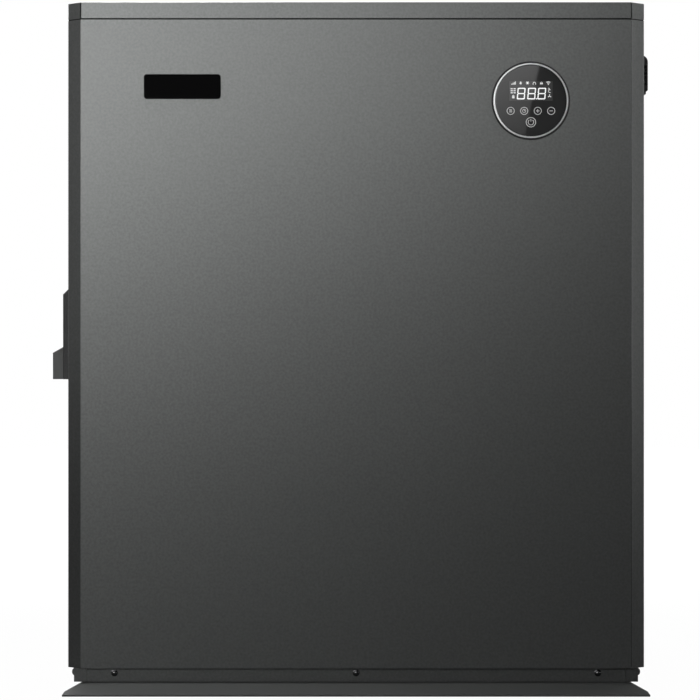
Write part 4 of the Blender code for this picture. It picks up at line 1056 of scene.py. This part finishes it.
def screws():
    """Domed screws along the base, and cross-recess screws round the panels, lid and covers."""
    dome = domed_screw()
    for place in ("left", "centre", "right"):
        x, _, level = middle(f"base_screw_{place}")
        copy = copy_of(dome, f"base_{place}_screw", TURNS["-Y"], (x, PAN_LOW.y, level))
        fit(copy, SCREW_BLACK, "screw_steel", f"base_screw_{place}")
    screw_set("pan_rear_screws", dome, [("Y", (x, PAN_HIGH.y, level)) for x in (-0.290, 0.120, 0.300)])
    bpy.data.objects.remove(dome)

    cross = cross_screw()
    heights, side_y, rear_in, lid_x, lid_y = (0.052, 0.43, 0.812), 0.3075, 0.031, 0.330, 0.315
    places = [("X", (RIGHT, y, z)) for y in (-side_y, side_y) for z in heights]
    places += [("-X", (LEFT, y, z)) for y in (-side_y, -0.076, -0.044, side_y) for z in heights]
    rear_x = (LEFT + rear_in, 0.094, 0.122, RIGHT - rear_in)
    places += [("Y", (x, REAR, z)) for x in rear_x for z in heights]
    places += [("Z", (MIDDLE_X + dx, y, LID_TOP)) for dx in (-lid_x, lid_x) for y in (-lid_y, lid_y)]
    screw_set("panel_screws", cross, places)
    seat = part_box("wiring_cover")[0].x + COVER_POCKET
    screw_set("wiring_cover_screws", cross, [("-X", (seat, y, z)) for y, z in cover_screw_places()])
    bpy.data.objects.remove(cross)


# Fan, shroud and guard


def guard_height(radius):
    """Height of the domed guard at this radius."""
    edge, rise = 0.0025, 0.020
    return LID_TOP + edge + rise * (1 - (radius / GUARD_R) ** 2)


def fan_guard():
    """A domed guard of many wire rings on eight spokes, with a pressed disc at its middle."""
    rings, hub, rim_r, spokes, spoke_r, spoke_start, bends = 15, 0.045, 0.0022, 8, 0.0020, 0.034, 10
    wires = []
    for i in range(rings):
        radius = hub + (GUARD_R - hub) * (i + 1) / rings
        thick = rim_r if i == rings - 1 else WIRE_R
        let_go()
        bpy.ops.mesh.primitive_torus_add(
            major_radius=radius, minor_radius=thick, major_segments=96, minor_segments=8,
            location=(MIDDLE_X, 0, guard_height(radius) + rim_r - thick))
        wires.append(settle("guard_ring"))
    let_go()
    bpy.ops.mesh.primitive_circle_add(
        vertices=8, radius=spoke_r, location=(spoke_start, 0, guard_height(spoke_start) - 0.0030),
        rotation=(0, math.pi / 2, 0), fill_type="NGON")
    spoke = settle("guard_spoke")
    bpy.ops.object.mode_set(mode="EDIT")
    bpy.ops.mesh.select_all(action="SELECT")
    reaches = [spoke_start + (GUARD_R - spoke_start) * k / bends for k in range(bends + 1)]
    for here, after in zip(reaches, reaches[1:]):
        draw_out(after - here, 0, guard_height(after) - guard_height(here))
    face_out(spoke)
    wires += all_round(spoke, spokes, 0.37)
    crown = guard_height(hub)
    profile = [(hub, crown - 0.002), (hub + 0.0008, crown), (hub - 0.001, crown + 0.0016),
               (0.036, crown + 0.0022), (0.033, crown + 0.0012), (0.012, crown + 0.0012),
               (0.010, crown + 0.0018)]
    wires.append(turned("guard_disc", profile, (MIDDLE_X, 0, 0), sides=64))
    guard = together("fan_guard_wires", *wires)
    smooth(guard, 50)
    fit(guard, BLACK_PAINT, "black_paint", "fan_guard")


def guard_feet():
    """Four flat feet that hold the guard to the lid."""
    start, end, half, gap, thick, corner_r = 0.284, 0.314, 0.011, 0.0001, 0.0013, 0.005
    foot = block("guard_foot", (start, -half, LID_TOP + gap), (end, half, LID_TOP + thick))
    bevel(foot, corner_r, 4, upright)
    feet = together("guard_feet", *all_round(foot, 4, 0.5))
    ease(feet, 0.0003)
    fit(feet, BLACK_PAINT, "black_paint")


def fan_shroud():
    """A ring round the fan with a rounded mouth, a flange under the lid and a rim at its foot."""
    inner, wall, flange, rim, mouth, mouth_depth = 0.285, 0.0025, 0.309, 0.301, 0.006, 0.013
    foot, head = (corner.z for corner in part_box("fan_shroud"))
    outer = inner + wall
    profile = [(inner + mouth, head), (flange, head), (flange, head - wall), (outer + mouth, head - wall),
               (outer, head - 0.012), (outer, foot + wall), (rim, foot + wall), (rim, foot), (inner, foot),
               (inner, head - mouth_depth)]
    for k in range(1, 6):
        angle = math.radians(18 * k)
        level = head - mouth_depth + mouth_depth * math.sin(angle)
        profile.append((inner + mouth * (1 - math.cos(angle)), level))
    shroud = turned("fan_shroud_ring", profile, (MIDDLE_X, 0, 0), sides=128)
    smooth(shroud)
    fit(shroud, BLACK_PLASTIC, "black_plastic", "fan_shroud")


def fan_blade(hub, tip):
    """One wide swept blade: a grid bent to its twist and camber, then given its thickness."""
    spans, chords, sunk, sweep, camber, middle_z = 14, 16, 0.004, math.radians(22), 0.006, 0.787
    let_go()
    bpy.ops.mesh.primitive_grid_add(x_subdivisions=spans, y_subdivisions=chords, size=1)
    blade = settle("fan_blade")
    for vertex in blade.data.vertices:
        share, across = vertex.co.x + 0.5, vertex.co.y * 2
        radius = hub - sunk + (tip - hub + sunk) * share
        reach = math.radians(44 - 6 * share) * (1 - 0.10 * share ** 6)
        angle = sweep * share + reach * across
        rise = 0.050 - 0.020 * share
        level = middle_z - rise / 2 * across + camber * (1 - across * across)
        vertex.co = (radius * math.cos(angle), radius * math.sin(angle), level)
    face_out(blade)
    use(blade, "SOLIDIFY", thickness=0.0034, offset=0)
    ease(blade, 0.0012, 60)
    return blade


def fan_impeller():
    """A hollow hub with three wide blades."""
    radius, tip, top, foot, wall = 0.065, 0.272, 0.822, 0.752, 0.007
    bore, boss, boss_foot = 0.0075, 0.018, 0.758
    profile = [(bore, boss_foot), (boss, boss_foot), (boss, top - 0.010), (radius - wall, top - 0.016),
               (radius - wall, foot), (radius, foot), (radius, top - 0.012), (radius - 0.002, top - 0.008),
               (radius - 0.008, top - 0.003), (radius - 0.018, top - 0.0006), (0.040, top), (bore, top),
               (bore, boss_foot)]
    hub = turned("fan_hub", profile, (MIDDLE_X, 0, 0))
    smooth(hub)
    impeller = together("fan_impeller_blades", hub, *all_round(fan_blade(radius, tip), 3, 0))
    fit(impeller, BLACK_PLASTIC, "black_plastic", "fan_impeller", body="fan")


# Water ports and drain


def union_nuts():
    """Ribbed ring nuts, their grips drawn out of alternate sides."""
    radius, sides, rise, lip, thread, lip_depth = 0.0410, 40, 0.0024, 0.0283, 0.0308, 0.006
    for port in PORTS:
        low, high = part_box(f"{port}_union_nut")
        x, _, z = middle(f"{port}_union_nut")
        nut = rod(f"{port}_ring_nut", (x, low.y, z), (x, high.y, z), radius, sides)

        def grip(at, way):
            place = math.atan2(at.z - z, at.x - x) / math.tau * sides
            return abs(way.y) < 0.5 and round(place - 0.5) % 4 in (0, 1)

        pick(nut, "FACE", grip)
        bpy.ops.mesh.extrude_region_shrink_fatten(TRANSFORM_OT_shrink_fatten={"value": rise})
        start = high.y - lip_depth
        bore = [(lip, high.y + THROUGH), (lip, start), (thread, start), (thread, low.y - THROUGH)]
        carve(nut, turned("nut_bore", bore, (x, 0, z), "Y", 64))
        ease(nut, 0.0007, 35)
        fit(nut, BLACK_PLASTIC, "black_plastic", f"{port}_union_nut", body=f"{port}_nut")


def tailpieces():
    """Pipe sockets, each held in its nut by a collar."""
    tail, socket, stop, collar, edge = 0.0276, 0.0250, 0.0210, 0.0298, 0.0006
    collar_depth, stop_depth = 0.0070, 0.0100
    for port in PORTS:
        low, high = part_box(f"{port}_tailpiece")
        x, _, z = middle(f"{port}_tailpiece")
        start, end = low.y, high.y
        profile = [(tail - edge, end), (tail, end - edge), (tail, start + collar_depth),
                   (collar, start + collar_depth), (collar, start), (stop, start), (stop, start + stop_depth),
                   (socket, start + stop_depth), (socket, end - 0.0008), (socket + edge, end),
                   (tail - edge, end)]
        piece = turned(f"{port}_tail_socket", profile, (x, 0, z), "Y", 64)
        smooth(piece)
        fit(piece, WHITE_PLASTIC, "white_plastic", f"{port}_tailpiece")


def drain_spout():
    """A hose spout with three barbs."""
    outer, bore, neck, shank, barb, root = 0.0080, 0.0042, 0.0058, 0.0066, 0.0079, -0.006
    face = PAN_HIGH.y
    x, _, z = middle("drain_spout")
    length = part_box("drain_spout")[1].y - face
    profile = [(neck, root), (neck, 0.0003), (outer, 0.0003), (outer, 0.0040), (shank, 0.0044)]
    for i in range(3):
        start = 0.0090 + 0.0068 * i
        profile += [(shank, start), (barb, start + 0.0004), (shank, start + 0.0060)]
    profile += [(0.0062, length), (bore, length), (bore, root), (neck, root)]
    spout = turned("drain_spout_barbs", profile, (x, face, z), "Y", 32)
    smooth(spout)
    fit(spout, BLACK_PLASTIC, "black_plastic", "drain_spout")


# Solids that keep their shape


def carried_over():
    """The inner pieces and small solids take their finishes as they are."""
    finishes = {
        STEEL: ("coil_end_plate", "electrical_box", "motor_bracket", "motor_housing", "motor_end_cap",
                "motor_rotor", "upper_bearing", "lower_bearing", "fan_nut", "flow_paddle"),
        COPPER: ("coil_gas_pipe", "coil_header", "condenser_gas_pipe", "discharge_pipe", "liquid_pipe",
                 "suction_pipe", "motor_stator"),
        BRASS: ("expansion_valve", "four_way_valve"),
        FINS: ("evaporator_coil",),
        BLACK_PAINT: ("compressor",),
        RUBBER: ("compressor_mount_1", "compressor_mount_2", "compressor_mount_3", "cable_grommet"),
        BLACK_PLASTIC: ("display_housing", "heat_exchanger"),
        GREY_PLASTIC: ("flow_switch", "terminal_block"),
        WHITE_PLASTIC: ("inlet_pipe", "outlet_pipe"),
        BOARD: ("main_board",),
    }
    for finish, nodes in finishes.items():
        for node in nodes:
            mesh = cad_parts[node].data
            mesh.materials.clear()
            mesh.materials.append(finish)


# Studio


def studio_world():
    """White to the eye all round; bright behind the unit and dim in front of it for what lights it."""
    dim, bright = 0.02, 0.2
    world = bpy.data.worlds.new("studio")
    bpy.context.scene.world = world
    world.use_nodes = True
    nodes = Nodes(world.node_tree)
    way = nodes.node("ShaderNodeTexCoord", output="Generated")
    behind = nodes.smoothstep(nodes.axis(way, "Y"), 0.25, 0.70)
    ambient = dim + behind * (bright - dim)
    strength = ambient + nodes.seen(behind) * (1 - ambient)
    background = nodes.tree.nodes["Background"]
    background.inputs["Color"].default_value = (1, 1, 1, 1)
    nodes.tree.links.new(strength.socket, background.inputs["Strength"])


def pale_floor():
    """A dark floor for the light that meets it, which shows white to the eye and a shade less close by."""
    let_go()
    bpy.ops.mesh.primitive_circle_add(
        vertices=64, radius=9, fill_type="NGON", location=(MIDDLE_X, 0, -0.0002))
    floor = settle("studio_floor")
    paint = Finish("pale_floor", (0.10, 0.10, 0.10), 0.9)
    away = paint.node("ShaderNodeVectorMath", {"operation": "LENGTH"}, {0: paint.here}, "Value")
    behind = paint.smoothstep(paint.axis(paint.here, "Y"), 0.8, 2.0)
    share = paint.seen(behind) * (0.95 + 0.05 * paint.smoothstep(away, 0.6, 2.2))
    white = paint.node("ShaderNodeEmission", None, {"Color": (1, 1, 1, 1), "Strength": 1.035})
    matt = Value(paint, paint.shader.outputs[0])
    paint.show(paint.node("ShaderNodeMixShader", None, {0: share, 1: matt, 2: white}))
    floor.data.materials.append(paint.material)


def area_light(name, place, target, size, power, spread=180):
    data = bpy.data.lights.new(name, "AREA")
    data.shape = "RECTANGLE"
    data.spread = math.radians(spread)
    data.size, data.size_y = size
    data.energy = power
    light = bpy.data.objects.new(name, data)
    light.location = place
    light.rotation_euler = (Vector(target) - Vector(place)).to_track_quat("-Z", "Y").to_euler()
    light.visible_camera = False
    bpy.context.scene.collection.objects.link(light)


def front_softbox():
    """A wide softbox by the camera, brightest at its upper left. The display mirrors its slanted edge."""
    depth, left, right, foot, head, slant, level = -4.1, -2.68, 0.4615, 0.64, 1.41, 0.205, 1.132
    let_go()
    bpy.ops.mesh.primitive_plane_add(size=1, location=(0, depth, 0), rotation=(math.pi / 2, 0, 0))
    softbox = settle("front_softbox")
    for corner in softbox.data.vertices:
        corner.co.z = head if corner.co.z > 0 else foot
        corner.co.x = left if corner.co.x < 0 else right + slant * (corner.co.z - level)
    glow = Finish("softbox_light", (0, 0, 0), 1)
    climb = glow.axis(glow.here, "Z") - 0.54 * glow.axis(glow.here, "X")
    strength = 11.2 * glow.smoothstep(climb, 0.514, 2.44)
    glow.show(glow.node("ShaderNodeEmission", None, {"Color": (1, 1, 1, 1), "Strength": strength}))
    softbox.data.materials.append(glow.material)
    softbox.visible_camera = False
    softbox.visible_shadow = False


def studio_lights():
    front_softbox()
    area_light("top_strip", (-0.25, -4.1, 1.54), (-0.25, 0, 1.54), (1.7, 0.23), 7.6)
    area_light("right_fill", (2.2, -0.9, 1.0), (RIGHT, -0.36, 0.8), (0.6, 1.44), 3.0, 75)
    area_light("right_upper_fill", (2.2, -0.9, 1.7), (RIGHT, -0.36, 1.3), (0.6, 0.6), 1.5, 60)
    area_light("left_fill", (-2.2, -0.6, 1.06), (LEFT, -0.6, 1.06), (0.6, 1.38), 3.15)
    area_light("plate_lamp", (-0.35, -0.52, 1.6), (-0.45, -0.41, 0), (0.5, 0.2), 2.35, 70)
    area_light("rear_fill", (-0.8, 3.0, 2.0), (0, REAR, 0.5), (2.0, 1.5), 60)
    area_light("left_rear_fill", (-2.4, 2.0, 1.6), (LEFT, 0.1, 0.5), (1.2, 1.2), 15)
    area_light("right_rear_fill", (2.4, 2.0, 1.6), (RIGHT, 0.1, 0.5), (1.2, 1.2), 15)


photograph_camera()
front_panel()
side_panels()
coil_guards()
service_panel()
top_cover()
lid_seal()
# Painted shade line along the front panel's right-hand fold
right_fold_shade_line()
base_pan()
foot_rail("front_floor_plate", "front_foot_rail", -1)
foot_rail("rear_floor_plate", "rear_foot_rail", 1)
wiring_cover()
cable_hood()
side_vent()
display()
badge()
screws()
fan_guard()
guard_feet()
fan_shroud()
fan_impeller()
union_nuts()
tailpieces()
drain_spout()
carried_over()
studio_world()
pale_floor()
studio_lights()
bpy.context.scene.view_settings.view_transform = "Standard"
